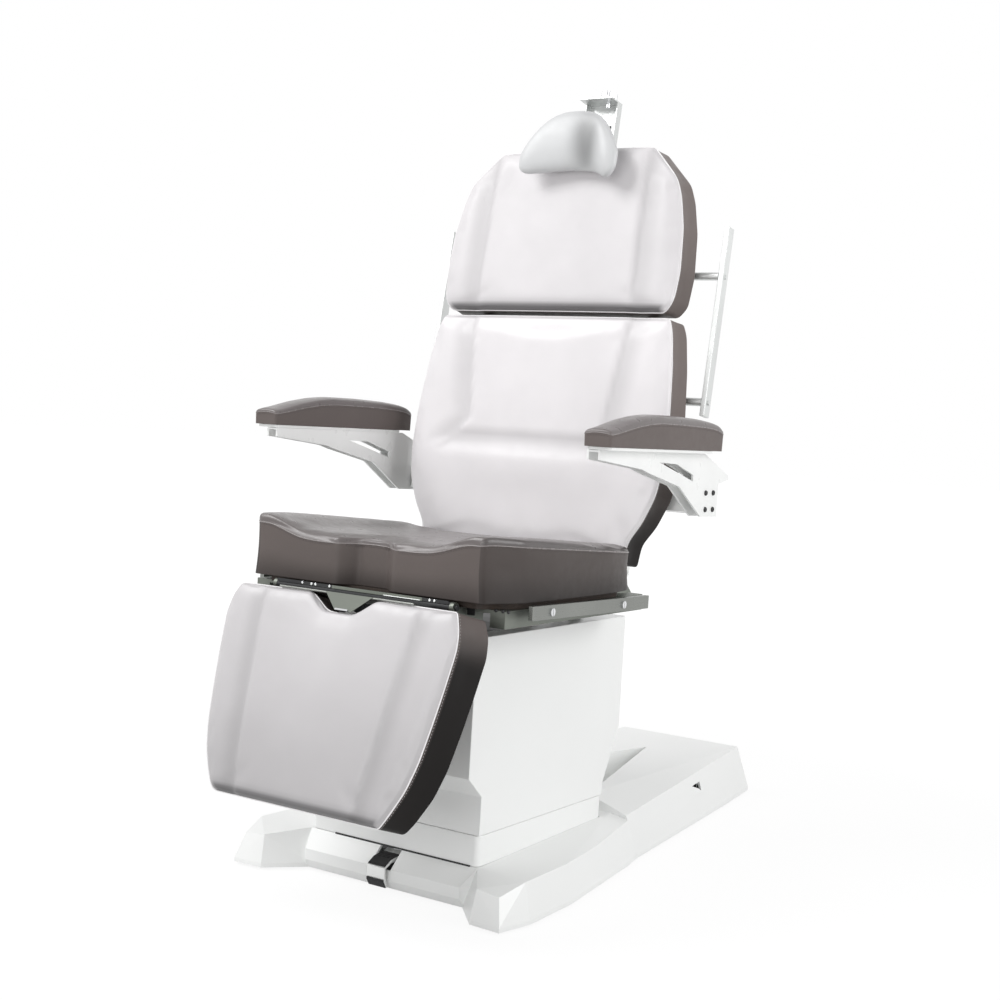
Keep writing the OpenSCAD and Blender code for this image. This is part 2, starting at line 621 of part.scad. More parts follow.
module brake_pedal() color("dimgray") layout() difference() {
  union() {
    translate([0, pedal_hinge_y, pedal_hinge_z]) rod_x(pedal_hub_r, [-pedal_w / 2, pedal_w / 2]);
    plate_x([-pedal_w / 2, pedal_w / 2], [
      [pedal_hinge_y, pedal_hinge_z + pedal_hub_r], [-collar_front - pedal_t, pedal_hinge_z + pedal_hub_r - pedal_t],
      [-pedal_front + 4 * pedal_t, nose_top_z + pedal_t], [-pedal_front, nose_high_z + pedal_t],
      [-pedal_front + pedal_t / 3, nose_low_z], [-pedal_front + 2 * pedal_t, pedal_low_z], [-pedal_front + 2.8 * pedal_t, pedal_low_z],
      [-pedal_front + 1.3 * pedal_t, nose_low_z + pedal_t], [-pedal_front + pedal_t, nose_high_z + pedal_t / 2],
      [-pedal_front + 4 * pedal_t, nose_top_z - pedal_t / 3], [-collar_front - pedal_t, pedal_hinge_z - pedal_t], [pedal_hinge_y, pedal_hinge_z]]);
  }
  translate([0, pedal_hinge_y, pedal_hinge_z]) rod_x(pedal_shaft_r + fit, [-pedal_w, pedal_w]);
}

// Lifting carriage
module lift_column_inner() color("silver") layout() difference() {
  block([-column_w / 2 + column_wall + skin, column_w / 2 - column_wall - skin], [-column_d / 2 + column_wall + skin, column_d / 2 - column_wall - skin], [inner_column_bottom_z, inner_column_top_z]);
  block([-column_w / 2 + 2 * column_wall, column_w / 2 - 2 * column_wall], [-column_d / 2 + 2 * column_wall, column_d / 2 - 2 * column_wall], [inner_column_bottom_z - cut, inner_column_top_z + cut]);
}
module lift_rod() color("silver") layout() translate([0, 0, inner_column_bottom_z + seat_gap])
  cylinder(r = lift_rod_r, h = carrier_z - inner_column_bottom_z - seat_gap);
module carrier_head() color("dimgray") layout() difference() {
  union() {
    block([-ear_x - ear_t, ear_x + ear_t], [-carrier_front, carrier_rear], [carrier_z, carrier_z + carrier_t]);
    for (y = [-carrier_front, carrier_rear - bar_w]) block([-post_x, post_x], [y, y + bar_w], [carrier_z, carrier_z + carrier_t]);
    both() for (y = [-carrier_front + bar_w / 2, carrier_rear - bar_w / 2]) translate([post_x - post_r, y, carrier_z])
      cylinder(r = post_r, h = housing_top_z - cover_wall - seat_gap - carrier_z);
    both() plate_x([ear_x, ear_x + ear_t], [[tilt_y - 3 * ear_r, carrier_z + carrier_t - cut], [tilt_y - ear_r, tilt_z], [tilt_y + ear_r, tilt_z], [tilt_y + 2 * ear_r, carrier_z + carrier_t - cut]]);
    both() translate([0, tilt_y, tilt_z]) rod_x(ear_r, [ear_x, ear_x + ear_t]);
  }
  both() translate([0, tilt_y, tilt_z]) rod_x(tilt_pin_r + fit, [ear_x - cut, ear_x + ear_t + cut]);
  translate([0, mid_bar_y, carrier_z - cut]) cylinder(r = drive_tube_r - cover_wall / 2 + fit, h = 2 * carrier_t);
}
function housing_outline(inset) = [
  [-collar_front + inset, inset > 0 ? collar_top_z - cut : collar_top_z + panel_gap], [-collar_front + inset, housing_lean_z + inset / 3], [-housing_front + inset, housing_full_z + inset / 3],
  [-housing_front + inset, housing_top_z - inset], [housing_rear - inset, housing_top_z - inset], [housing_rear - inset, housing_full_z + 3 * cover_lip],
  [collar_rear - 2 * cover_wall - inset, collar_top_z + 3 * cover_lip], [collar_rear - 2 * cover_wall - inset, inset > 0 ? collar_top_z - cut : collar_top_z + panel_gap]];
shroud_wall = 3;
module upper_shroud() color("white") layout() difference() {
  plate_x([-housing_w / 2, housing_w / 2], [for (p = housing_outline(0)) [p[0] + (p[0] > 0 && p[0] < collar_rear ? 2 * cover_wall : 0), p[1]]]);
  plate_x([-housing_w / 2 + shroud_wall, housing_w / 2 - shroud_wall], [for (p = housing_outline(shroud_wall)) [p[0] + (p[0] > 0 && p[0] < collar_rear ? 2 * cover_wall : 0), p[1]]]);
  block([-deck_open_x, deck_open_x], [-carrier_front, housing_rear - 4 * cover_wall], [housing_full_z, housing_top_z + cut]);
}
deck_open_x = 148;
module tilt_pins() color("silver") layout() both() translate([0, tilt_y, tilt_z])
  rod_x(tilt_pin_r, [ear_x - cover_wall, inner_rail_x + 2 * cover_wall]);
tilt_drive_z = 300;
module tilt_actuator() color("dimgray") layout() translate([0, mid_bar_y, 0]) difference() {
  union() {
    translate([0, 0, tilt_drive_z]) cylinder(r = drive_tube_r - cover_wall / 2, h = carrier_z + carrier_t + cut - tilt_drive_z);
    translate([0, 0, carrier_z + carrier_t]) cylinder(r = drive_tube_r + cover_wall, h = cover_wall / 2);
    block([-drive_tube_r, drive_tube_r], [-drive_tube_r, drive_tube_r], [tilt_drive_z - drive_box, tilt_drive_z + cut]);
  }
  translate([0, 0, tilt_drive_z + drive_tube_r]) cylinder(r = tilt_rod_r + fit, h = carrier_z);
}
tilt_cross_r = 5;
module tilt_rod() color("silver") layout() translate([0, mid_bar_y, 0]) {
  translate([0, 0, tilt_drive_z + drive_tube_r + 2 * cover_wall]) cylinder(r = tilt_rod_r, h = tilt_z - tilt_drive_z - drive_tube_r - 2 * cover_wall);
  translate([0, 0, tilt_z]) rod_x(tilt_cross_r, [-tilt_lug_x - 2 * bar_t, tilt_lug_x + 2 * bar_t]);
}
tilt_lug_x = 10;

// Seat
// A plate across X with a long slot in it, from the hinge at its top
module lever(x, hub_r, reach, travel, pin_r) {
  near_r = reach - pin_r - skin;
  far_r = reach / cos(travel / 2) + pin_r + skin;
  difference() {
    union() {
      rod_x(hub_r, x);
      block(x, [-hub_r, hub_r], [-far_r, 0]);
      translate([0, 0, -far_r]) rod_x(hub_r, x);
    }
    block([x[0] - cut, x[1] + cut], [-pin_r - slot_play, pin_r + slot_play], [-far_r, -near_r]);
  }
}
function side_ear_outline() = [[rear_bar_y - bar_w / 2, seat_tube_z], [back_hinge_y + link_dy + 1.5 * link_r, seat_tube_z],
  [back_hinge_y + link_dy + 1.5 * link_r, back_hinge_z + link_dz + link_r], [back_hinge_y + hinge_ear_r, back_hinge_z - 1.5 * hinge_ear_r],
  [back_hinge_y + hinge_ear_r, back_hinge_z], [back_hinge_y - hinge_ear_r, back_hinge_z],
  [back_hinge_y - 2 * hinge_ear_r, seat_deck_z - board_t], [rear_bar_y - bar_w / 2, seat_deck_z - board_t]];
module saddle(y) difference() {
  block([-drive_r - cover_wall, drive_r + cover_wall], [y, y + 2 * cover_wall], [drive_z, bar_z + cut]);
  translate([0, 0, drive_z]) rod_y(drive_r + fit, [y - cut, y + 3 * cover_wall]);
}
module seat_frame() color("white") layout() difference() {
  union() {
    both() block([seat_frame_w / 2 - seat_tube_h, seat_frame_w / 2], [-seat_tube_front, seat_tube_rear], [seat_tube_z, seat_deck_z - board_t]);
    for (y = [-seat_tube_front, mid_bar_y - bar_w / 2, rear_bar_y - bar_w / 2]) block([-seat_frame_w / 2 + cut, seat_frame_w / 2 - cut], [y, y + bar_w], [bar_z, bar_z + bar_t]);
    both() block([inner_rail_x - bar_t, inner_rail_x], [-seat_tube_front, rear_bar_y], [seat_tube_z, bar_z + cut]);
    // Ears on the inner rails for the tilt pins
    both() plate_x([inner_rail_x - bar_t + cut, inner_rail_x], [[tilt_y - 6 * ear_r, seat_tube_z], [tilt_y - 6 * ear_r, bar_z], [tilt_y - ear_r, bar_z], [tilt_y + ear_r, tilt_z], [tilt_y - ear_r, tilt_z]]);
    both() translate([0, tilt_y, tilt_z]) rod_x(ear_r, [inner_rail_x - bar_t + cut, inner_rail_x]);
    // Slotted lug over the tilt rod
    both() block([tilt_lug_x, tilt_lug_x + bar_t], [mid_bar_y - 4 * tilt_cross_r, mid_bar_y + 3 * tilt_cross_r], [tilt_z - 2 * tilt_cross_r, bar_z + cut]);
    // Saddles that hold the two drives
    translate([-drive_x, 0, 0]) { saddle(-seat_tube_front + bar_w - 2 * cover_wall); saddle(mid_bar_y - cover_wall); }
    translate([drive_x, 0, 0]) { saddle(mid_bar_y - cover_wall); saddle(rear_bar_y - bar_w / 2); }
    // Rear ears for the back hinge, and the pegs that carry the arm links
    both() plate_x([hinge_ear_x, hinge_ear_x + hinge_ear_t], side_ear_outline());
    both() translate([0, back_hinge_y, back_hinge_z]) rod_x(hinge_ear_r, [hinge_ear_x, hinge_ear_x + hinge_ear_t]);
    both() translate([0, back_hinge_y + link_dy, back_hinge_z + link_dz]) rod_x(link_pin_r, [link_x - 2, hinge_ear_x + cut]);
    both() translate([0, back_hinge_y + link_dy, back_hinge_z + link_dz]) rod_x(link_r, [link_x + link_t + panel_gap, hinge_ear_x + cut]);
    // Front ears for the leg section
    both() plate_x([leg_ear_x, leg_ear_x + leg_ear_t], [[-leg_hinge_y, leg_hinge_z - leg_ear_r], [-seat_tube_front + bar_w, seat_tube_z], [-seat_tube_front + bar_w, bar_z + bar_t],
      [-seat_front + leg_ear_r + bar_t, bar_z + bar_t], [-leg_hinge_y, leg_hinge_z + leg_ear_r]]);
    both() translate([0, -leg_hinge_y, leg_hinge_z]) rod_x(leg_ear_r, [leg_ear_x, leg_ear_x + leg_ear_t]);
  }
  // Notch that the back's lever swings through
  block([drive_x - lever_t, drive_x + lever_t], [rear_bar_y + bar_w / 2 - lever_t, rear_bar_y + bar_w], [bar_z - cut, bar_z + bar_t + cut]);
  both() translate([0, tilt_y, tilt_z]) rod_x(tilt_pin_r + fit, [inner_rail_x - 2 * bar_t, inner_rail_x + bar_t]);
  block([-tilt_lug_x - 2 * bar_t, tilt_lug_x + 2 * bar_t], [mid_bar_y - 2.4 * tilt_cross_r, mid_bar_y + 1.3 * tilt_cross_r], [tilt_z - tilt_cross_r - skin, tilt_z + tilt_cross_r + skin]);
  both() translate([0, back_hinge_y, back_hinge_z]) rod_x(hinge_pin_r + fit, [hinge_ear_x - cut, hinge_ear_x + 2 * hinge_ear_t]);
  both() translate([0, -leg_hinge_y, leg_hinge_z]) rod_x(leg_shaft_r + fit, [leg_ear_x - cut, leg_ear_x + 2 * leg_ear_t]);
}
module seat_board() color("saddlebrown") layout() translate([0, 0, seat_deck_z - board_t + seat_gap]) linear_extrude(board_t - 2 * seat_gap)
  polygon(mirror_outline([[seat_w / 2 * 0.78, -seat_front + leg_ear_r + 2 * bar_t], [seat_w / 2 * 0.93, -seat_front * 0.78], [seat_w / 2 * 0.93, seat_rear * 0.5], [seat_w / 2 * 0.86, seat_rear - 3 * cover_wall]]));
// Half width of the seat cushion by the share of its length from the front
seat_width_shares = [[0, 0.875], [0.05, 0.91], [0.16, 0.985], [0.35, 1], [0.8, 1], [0.93, 0.97], [1, 0.93]];
seat_stations = [0, 0.012, 0.035, 0.07, 0.12, 0.19, 0.3, 0.45, 0.6, 0.75, 0.87, 0.94, 0.98, 1];
seat_l = seat_front + seat_rear;
// Share of the dish's depth by the place across the seat, from its middle to its side
seat_dish_shares = [[0, 0.92], [0.25, 1], [0.45, 1], [0.58, 0.92], [0.67, 0.72], [0.76, 0.42], [0.85, 0.15], [0.93, 0], [1, 0.12]];
function seat_top(t, a) = seat_front_h + (seat_rear_h - seat_front_h) * t
  - seat_dish * (1 - 0.72 * t) * lookup(abs(a), seat_dish_shares);
seat_dish = 29;
seat_roll = 5;
seat_foot_share = 1.01;
module seat_cushion() color("dimgray") layout() skin_rings([for (t = seat_stations) let(
  half = seat_w / 2 * lookup(t, seat_width_shares) - (1 - end_rise(t)) * seat_roll,
  edge = 0.93 + 0.07 * end_rise(t),
  ring = pad_ring(half, seat_foot_share, function(a) seat_top(t, a) * edge))
  [for (p = ring) [p[0], -seat_front + t * seat_l + seat_notch_d * notch(p[0], seat_w * 0.108, seat_w * 0.056) * max(0, 1 - t / 0.2), seat_deck_z + p[1]]]], pad_cap);
module side_rails() color("silver") layout() both() {
  plate_x([rail_x - rail_t / 2, rail_x + rail_t / 2], [[-rail_front, rail_front_z - rail_h / 2], [rail_l - rail_front, rail_front_z - rail_h / 2 - rail_drop],
    [rail_l - rail_front, rail_front_z + rail_h / 2 - rail_drop], [-rail_front, rail_front_z + rail_h / 2]]);
  for (y = rail_screw_ys) translate([0, y, rail_front_z - rail_drop * (y + rail_front) / rail_l])
    rod_x(spacer_r, [seat_frame_w / 2, rail_x - rail_t / 2 + cut]);
}
module rail_screws() color("silver") layout() both() for (y = rail_screw_ys) translate([0, y, rail_front_z - rail_drop * (y + rail_front) / rail_l])
  difference() {
    rod_x(screw_head_r, [rail_x + rail_t / 2, rail_x + rail_t / 2 + screw_head_t]);
    block([rail_x + rail_t / 2 + screw_head_t / 2, rail_x + rail_t], [-cut / 2, cut / 2], [-screw_head_r, screw_head_r]);
  }
module back_hinge_pins() color("silver") layout() both() translate([0, back_hinge_y, back_hinge_z]) {
  rod_x(hinge_pin_r, [side_plate_x - cover_wall, hinge_ear_x + hinge_ear_t]);
  rod_x(hinge_ear_r * 0.8, [hinge_ear_x + hinge_ear_t, hinge_ear_x + 1.6 * hinge_ear_t]);
}
module legrest_shaft() color("silver") layout() translate([0, -leg_hinge_y, leg_hinge_z])
  rod_x(leg_shaft_r, [-leg_ear_x - leg_ear_t - cover_wall, leg_ear_x + leg_ear_t + cover_wall]);
leg_drive_front = -seat_tube_front + 30;
leg_drive_rear = -50;
back_drive_front = mid_bar_y - 20;
back_drive_rear = rear_bar_y - bar_w / 2 + 9;
module drive_body(r, front, rear, bore_r, bore) difference() {
  union() {
    rod_y(drive_r, [front, rear]);
    children();
  }
  rod_y(bore_r + fit, bore);
}
module leg_actuator() color("dimgray") layout() translate([-drive_x, 0, drive_z])
  drive_body(drive_r, leg_drive_front, leg_drive_rear, leg_rod_r, [leg_drive_front - cut, leg_drive_rear - 2 * cover_wall])
    block([-drive_r, drive_r], [leg_drive_rear - drive_box, leg_drive_rear], [-drive_r + cut, drive_r - cut]);
module back_actuator() color("dimgray") layout() translate([drive_x, 0, drive_z])
  drive_body(drive_r, back_drive_front, back_drive_rear, back_rod_r, [back_drive_front + 2 * cover_wall, back_drive_rear + cut])
    block([-drive_r, drive_r], [back_drive_front + drive_box, back_drive_front + 2 * drive_box - drive_r], [-drive_r + cut, drive_r - cut]);
module fork_end(rod_r, pin_r, sign) {
  for (x = [-1, 1]) translate([x * (lever_t / 2 + panel_gap + cover_wall / 2), 0, 0]) rod_x(rod_r, [-cover_wall / 2, cover_wall / 2]);
  rod_x(pin_r, [-lever_t / 2 - panel_gap - cut, lever_t / 2 + panel_gap + cut]);
}
module leg_rod() color("silver") layout() translate([-drive_x, 0, drive_z]) {
  translate([0, leg_pin_y, 0]) fork_end(leg_rod_r, leg_pin_r);
  for (x = [-1, 1]) block([x * (lever_t / 2 + panel_gap + cover_wall / 2) - cover_wall / 2, x * (lever_t / 2 + panel_gap + cover_wall / 2) + cover_wall / 2],
    [leg_pin_y, leg_pin_y + leg_fork_l], [-leg_rod_r, leg_rod_r]);
  rod_y(leg_rod_r + 2 * cut, [leg_pin_y + leg_fork_l - cover_wall, leg_pin_y + leg_fork_l + cover_wall]);
  rod_y(leg_rod_r, [leg_pin_y + leg_fork_l, leg_drive_rear - leg_stroke - 4 * cover_wall]);
}
leg_fork_l = 28;
module back_rod() color("silver") layout() translate([drive_x, 0, drive_z]) {
  translate([0, back_pin_y, 0]) fork_end(back_rod_r, back_pin_r);
  for (x = [-1, 1]) block([x * (lever_t / 2 + panel_gap + cover_wall / 2) - cover_wall / 2, x * (lever_t / 2 + panel_gap + cover_wall / 2) + cover_wall / 2],
    [back_pin_y - back_fork_l, back_pin_y], [-back_rod_r, back_rod_r]);
  rod_y(back_rod_r + 2 * cut, [back_pin_y - back_fork_l - cover_wall, back_pin_y - back_fork_l + cover_wall]);
  rod_y(back_rod_r, [back_drive_front + back_stroke + 4 * cover_wall, back_pin_y - back_fork_l]);
}
back_fork_l = 30;

// Leg section
module legrest_frame() color("white") difference() {
  union() {
    leg_place() {
      both() plate_x([leg_arm_x - bar_t / 2, leg_arm_x + bar_t / 2], [[-leg_sleeve_r * 0.9, 0], [0, leg_sleeve_r * 0.8], [board_t + leg_tube, -leg_tube],
        [board_t + leg_tube, -2 * leg_tube], [board_t + cut + seat_gap, -2 * leg_tube], [board_t + cut + seat_gap, -leg_board_s], [0, -leg_sleeve_r * 0.9]]);
      both() block([leg_arm_x - leg_tube / 2, leg_arm_x + leg_tube / 2], [board_t + cut + seat_gap, board_t + cut + seat_gap + leg_tube], [-leg_pad_s - leg_l * 0.9, -leg_tube * 1.4]);
      for (s = [leg_tube * 2, leg_l * 0.8]) block([-leg_arm_x, leg_arm_x], [board_t + cut + seat_gap + skin, board_t + cut + seat_gap + leg_tube - skin], [-s - leg_tube, -s]);
      rod_x(leg_sleeve_r, [-leg_ear_x + panel_gap, leg_ear_x - panel_gap]);
    }
    layout() translate([-drive_x, -leg_hinge_y, leg_hinge_z]) rotate([leg_swing / 2, 0, 0])
      lever([-lever_t / 2, lever_t / 2], leg_sleeve_r + skin, leg_lever, leg_swing, leg_pin_r);
  }
  layout() translate([0, -leg_hinge_y, leg_hinge_z]) rod_x(leg_shaft_r + fit, [-leg_ear_x, leg_ear_x]);
}
// Half width of the leg cushion by the share of its length from the top
leg_width_shares = [[0, 0.92], [0.03, 0.955], [0.08, 0.99], [0.16, 1], [0.42, 0.96], [0.68, 0.905], [0.87, 0.83], [0.95, 0.77], [1, 0.68]];
leg_stations = [0, 0.012, 0.035, 0.07, 0.12, 0.2, 0.32, 0.46, 0.6, 0.73, 0.83, 0.9, 0.95, 0.985, 1];
function leg_relief(t, a) = leg_crown * crown(a) * (0.4 + 0.6 * sin(180 * t)) - leg_crown * 0.45 * bell(abs(a) - leg_valley(t), 0.1);
function leg_valley(t) = 0.7 - 0.22 * t;
function leg_face(t, a) = (leg_t - leg_crown + leg_relief(t, a)) * (0.86 + 0.14 * end_rise(t));
module leg_outline(inset) polygon(concat(
  [for (p = leg_width_shares) [p[1] * leg_w / 2 - inset, -(leg_board_s + seat_gap + p[0] * (leg_l - inset))]],
  [for (i = [len(leg_width_shares) - 1:-1:0]) let(p = leg_width_shares[i]) [-p[1] * leg_w / 2 + inset, -(leg_board_s + seat_gap + p[0] * (leg_l - inset))]]));
module legrest_board() color("saddlebrown") leg_place() translate([0, board_t + cut, 0]) rotate([90, 0, 0])
  linear_extrude(board_t - seat_gap) difference() {
    leg_outline(3 * cover_wall);
    translate([0, -leg_board_s]) polygon([[-leg_w * 0.13, cut], [-leg_w * 0.13, -leg_notch_d], [leg_w * 0.13, -leg_notch_d], [leg_w * 0.13, cut]]);
  }
module legrest_cushion() color("lightgray") leg_place() skin_rings([for (t = leg_stations) let(
  half = leg_w / 2 * lookup(t, leg_width_shares),
  ring = pad_ring(half, pad_foot, function(a) leg_face(t, a)))
  [for (p = ring) [p[0], leg_t - leg_pad_front - p[1], -leg_pad_s - t * leg_l - leg_notch_d * notch(p[0], leg_w * 0.13, leg_w * 0.055) * max(0, 1 - t / 0.25)]]], pad_cap);
tongue_y = 47;
module legrest_v_plate() color("silver") leg_place() {
  difference() {
    block([-leg_arm_x + bar_t / 2 + seat_gap, leg_arm_x - bar_t / 2 - seat_gap], [-tongue_y - plate_t, leg_sleeve_r], [-leg_board_s, -leg_plate_s]);
    block([-drive_x - lever_t / 2 - panel_gap, -drive_x + lever_t / 2 + panel_gap], [-2 * leg_sleeve_r, leg_sleeve_r + cut], [-leg_board_s - cut, -leg_plate_s + cut]);
  }
  translate([0, -tongue_y, 0]) rotate([90, 0, 0]) linear_extrude(plate_t)
    polygon([[-leg_w * 0.075, -leg_plate_s], [-leg_w * 0.02, -leg_plate_s - leg_notch_d], [leg_w * 0.02, -leg_plate_s - leg_notch_d], [leg_w * 0.075, -leg_plate_s]]);
}

// Back
module back_frame() color("white") {
  back_place() difference() {
    union() {
      both() plate_x([side_plate_x, side_plate_x + side_plate_t], side_plate_outline());
      both() rod_x(hinge_ear_r, [side_plate_x, side_plate_x + side_plate_t]);
      both() block([back_tube_x, back_tube_x + back_tube + cut], [back_tube_y, back_tube_y + tube_d], [lower_back_s + 2 * back_tube, upper_back_top - 3 * back_tube]);
      for (s = [lower_back_s + 2 * back_tube, upper_back_s - back_gap - back_tube, upper_back_top - 4 * back_tube])
        block([-back_tube_x - cut, back_tube_x + cut], [back_tube_y, back_tube_y + tube_d], [s, s + back_tube]);
      // Outriggers that carry the arm rests
      both() block([side_plate_x + cut, outrigger_x], [arm_pivot_back - outrigger_r, arm_pivot_back + outrigger_r], [arm_pivot_s - outrigger_h / 2, arm_pivot_s + outrigger_h / 2]);
      // Beam that carries the slotted lever
      block([drive_x - lever_t / 2 + skin, side_plate_x + cut], [back_tube_y, back_tube_y + tube_d], [lower_back_s + back_tube, lower_back_s + 2 * back_tube + cut]);
      block([drive_x - lever_t / 2 + skin, drive_x + lever_t / 2 - skin], [back_tube_y + skin, back_tube_y + tube_d - skin], [-hinge_ear_r, lower_back_s + 2 * back_tube]);
    }
    both() rod_x(hinge_pin_r + fit, [side_plate_x - cut, side_plate_x + 2 * side_plate_t]);
    both() translate([0, arm_pivot_back, arm_pivot_s]) rod_x(arm_shaft_r + fit, [side_plate_x - cut, outrigger_x + cut]);
  }
  layout() translate([drive_x, back_hinge_y, back_hinge_z]) rotate([back_travel / 2, 0, 0]) back_lever_arm();
}
back_tube_y = back_cushion_back + board_t + seat_gap;
tube_d = 13;
// The back's lever has no hub of its own, because the cushion hangs where the hinge line runs
module back_lever_arm() {
  near_r = back_lever - back_pin_r - skin;
  far_r = back_lever / cos(back_travel / 2) + back_pin_r + skin;
  x = [-lever_t / 2, lever_t / 2];
  difference() {
    union() {
      plate_x(x, [[-hinge_ear_r * 1.1, -far_r], [hinge_ear_r * 1.1, -far_r], [2.6 * hinge_ear_r, -back_lever * 0.42], [back_tube * 0.9, -back_tube * 0.3], [-hinge_ear_r * 0.3, -back_lever * 0.48], [-hinge_ear_r * 1.1, -back_lever * 0.7]]);
      translate([0, 0, -far_r]) rod_x(hinge_ear_r * 1.1, x);
    }
    block([x[0] - cut, x[1] + cut], [-back_pin_r - slot_play - cut, back_pin_r + slot_play + cut], [-far_r, -near_r]);
  }
}
function side_plate_outline() = [[0, -hinge_ear_r], [back_tube_y, -hinge_ear_r], [back_tube_y + tube_d, 0], [back_tube_y + tube_d, arm_pivot_s - 2 * back_tube],
  [arm_pivot_back + outrigger_r, arm_pivot_s - back_tube], [arm_pivot_back + outrigger_r, arm_pivot_s + back_tube],
  [back_tube_y + tube_d, arm_pivot_s + 2 * back_tube], [back_tube_y + tube_d, arm_pivot_s + 3 * back_tube], [back_tube_y, arm_pivot_s + 3 * back_tube],
  [back_tube_y, hinge_ear_r], [0, hinge_ear_r]];
// Half widths of the back cushions by the share of their length from below
lower_width_shares = [[0, 0.80], [0.09, 0.815], [0.165, 0.897], [0.28, 0.973], [0.41, 1], [0.6, 0.995], [0.8, 0.963], [0.95, 0.925], [1, 0.89]];
upper_width_shares = [[0, 0.92], [0.06, 0.98], [0.24, 1], [0.5, 0.978], [0.69, 0.93], [0.8, 0.88], [1, 0.655]];
lower_stations = [0, 0.012, 0.035, 0.08, 0.16, 0.26, 0.36, 0.44, 0.5, 0.58, 0.7, 0.82, 0.91, 0.965, 0.988, 1];
upper_stations = [0, 0.015, 0.045, 0.1, 0.2, 0.35, 0.5, 0.64, 0.75, 0.84, 0.92, 0.97, 0.99, 1];
back_crown = 8;
// Side bolsters with a valley inside them, and a lumbar swell low down
function lower_relief(t, a) = back_crown * (0.35 * crown(a) + 0.75 * bell(abs(a) - 0.86, 0.16) * sin(180 * min(1, t * 1.1))
  + 0.9 * bell(t - 0.42, 0.11) * bell(a, 0.6) - 0.35 * bell(abs(a) - 0.58, 0.09) * min(1, t * 1.5));
function upper_relief(t, a) = back_crown * (0.7 * crown(a) + 0.3 * bell(abs(a) - 0.8, 0.15) - 0.4 * bell(abs(a) - 0.56, 0.09));
module back_pad(start, length, width, table, stations, relief) back_place() skin_rings([for (t = stations) let(
  half = width / 2 * lookup(t, table),
  edge = 0.86 + 0.14 * end_rise(t),
  ring = pad_ring(half, pad_foot, function(a) (back_t - back_crown * 0.8 + relief(t, a)) * edge))
  [for (p = ring) [-p[0], back_cushion_back - p[1], start + t * length]]], pad_cap);
module back_board(start, length, width, table) back_place() translate([0, back_cushion_back + board_t, 0]) rotate([90, 0, 0]) linear_extrude(board_t - seat_gap)
  polygon(mirror_outline([for (p = table) [p[1] * width / 2 - 3 * cover_wall, start + 2 * cover_wall + p[0] * (length - 4 * cover_wall)]]));
module lower_back_board() color("saddlebrown") back_board(lower_back_s, lower_back_l, lower_back_w, lower_width_shares);
module lower_back_cushion() color("lightgray") back_pad(lower_back_s, lower_back_l, lower_back_w, lower_width_shares, lower_stations, function(t, a) lower_relief(t, a));
module upper_back_board() color("saddlebrown") back_board(upper_back_s, upper_back_l, upper_back_w, upper_width_shares);
module upper_back_cushion() color("lightgray") back_pad(upper_back_s, upper_back_l, upper_back_w, upper_width_shares, upper_stations, function(t, a) upper_relief(t, a));
module grab_rails() color("silver") back_place() both()
  block([grab_x - rail_t / 2, grab_x + rail_t / 2], [grab_y - rail_h / 2, grab_y + rail_h / 2], [grab_s, grab_s + grab_l]);
module rail_standoffs() color("silver") back_place() both() for (s = standoff_s) translate([0, grab_y - rail_h / 4, s]) {
  rod_x(standoff_r * 0.8, [back_tube_x + back_tube + cut, grab_x - rail_t / 2]);
  translate([0, rail_h / 4, 0]) rod_x(screw_head_r * 0.7, [grab_x + rail_t / 2, grab_x + rail_t / 2 + screw_head_t]);
}
socket_s = [640, 830];
module headrest_socket() color("dimgray") back_place() difference() {
  block([-head_plate_w / 2 - 2 * cover_wall, head_plate_w / 2 + 2 * cover_wall], [back_tube_y + tube_d + seat_gap, head_plate_y + plate_t + 2 * cover_wall], socket_s);
  block([-head_plate_w / 2 - skin, head_plate_w / 2 + skin], [head_plate_y - skin, head_plate_y + plate_t + skin], [socket_s[0] - cut, socket_s[1] + cut]);
  block([-head_plate_w / 4, head_plate_w / 4], [head_plate_y, head_plate_y + 4 * cover_wall], [socket_s[0] - cut, socket_s[1] + cut]);
}

// Headrest
module headrest_bracket() color("silver") back_place() difference() {
  union() {
    block([-head_plate_w / 2, head_plate_w / 2], [head_plate_y, head_plate_y + plate_t], [head_plate_bottom, head_plate_top]);
    block([-head_plate_w / 2, head_plate_w / 2], [head_plate_y - head_flange, head_plate_y + plate_t], [head_plate_top - plate_t, head_plate_top]);
    both() block([head_plate_w / 2 - plate_t, head_plate_w / 2], [head_plate_y - 4 * cover_wall, head_plate_y + plate_t], [socket_s[1] + head_travel / 2, head_plate_top]);
    translate([head_side, 0, 0]) block([-head_arm_w / 2, head_arm_w / 2], [head_pivot_y + 3 * head_pivot_r, head_plate_y + cut], [head_arm_s, head_arm_s + head_arm_h]);
    translate([head_side, 0, 0]) both() block([head_arm_w / 2 - bar_t, head_arm_w / 2], [head_pivot_y - 1.4 * head_pivot_r, head_pivot_y + 3 * head_pivot_r + cut], [head_arm_s, head_arm_s + head_arm_h]);
  }
  translate([head_side, head_pivot_y, head_arm_s + head_arm_h / 2]) rod_x(head_pivot_r * 0.8 + fit, [-head_arm_w, head_arm_w]);
  translate([head_plate_w / 4, head_plate_y - head_flange / 2, head_plate_top]) translate([0, 0, -2 * plate_t]) cylinder(r = head_pivot_r + fit, h = 4 * plate_t);
}
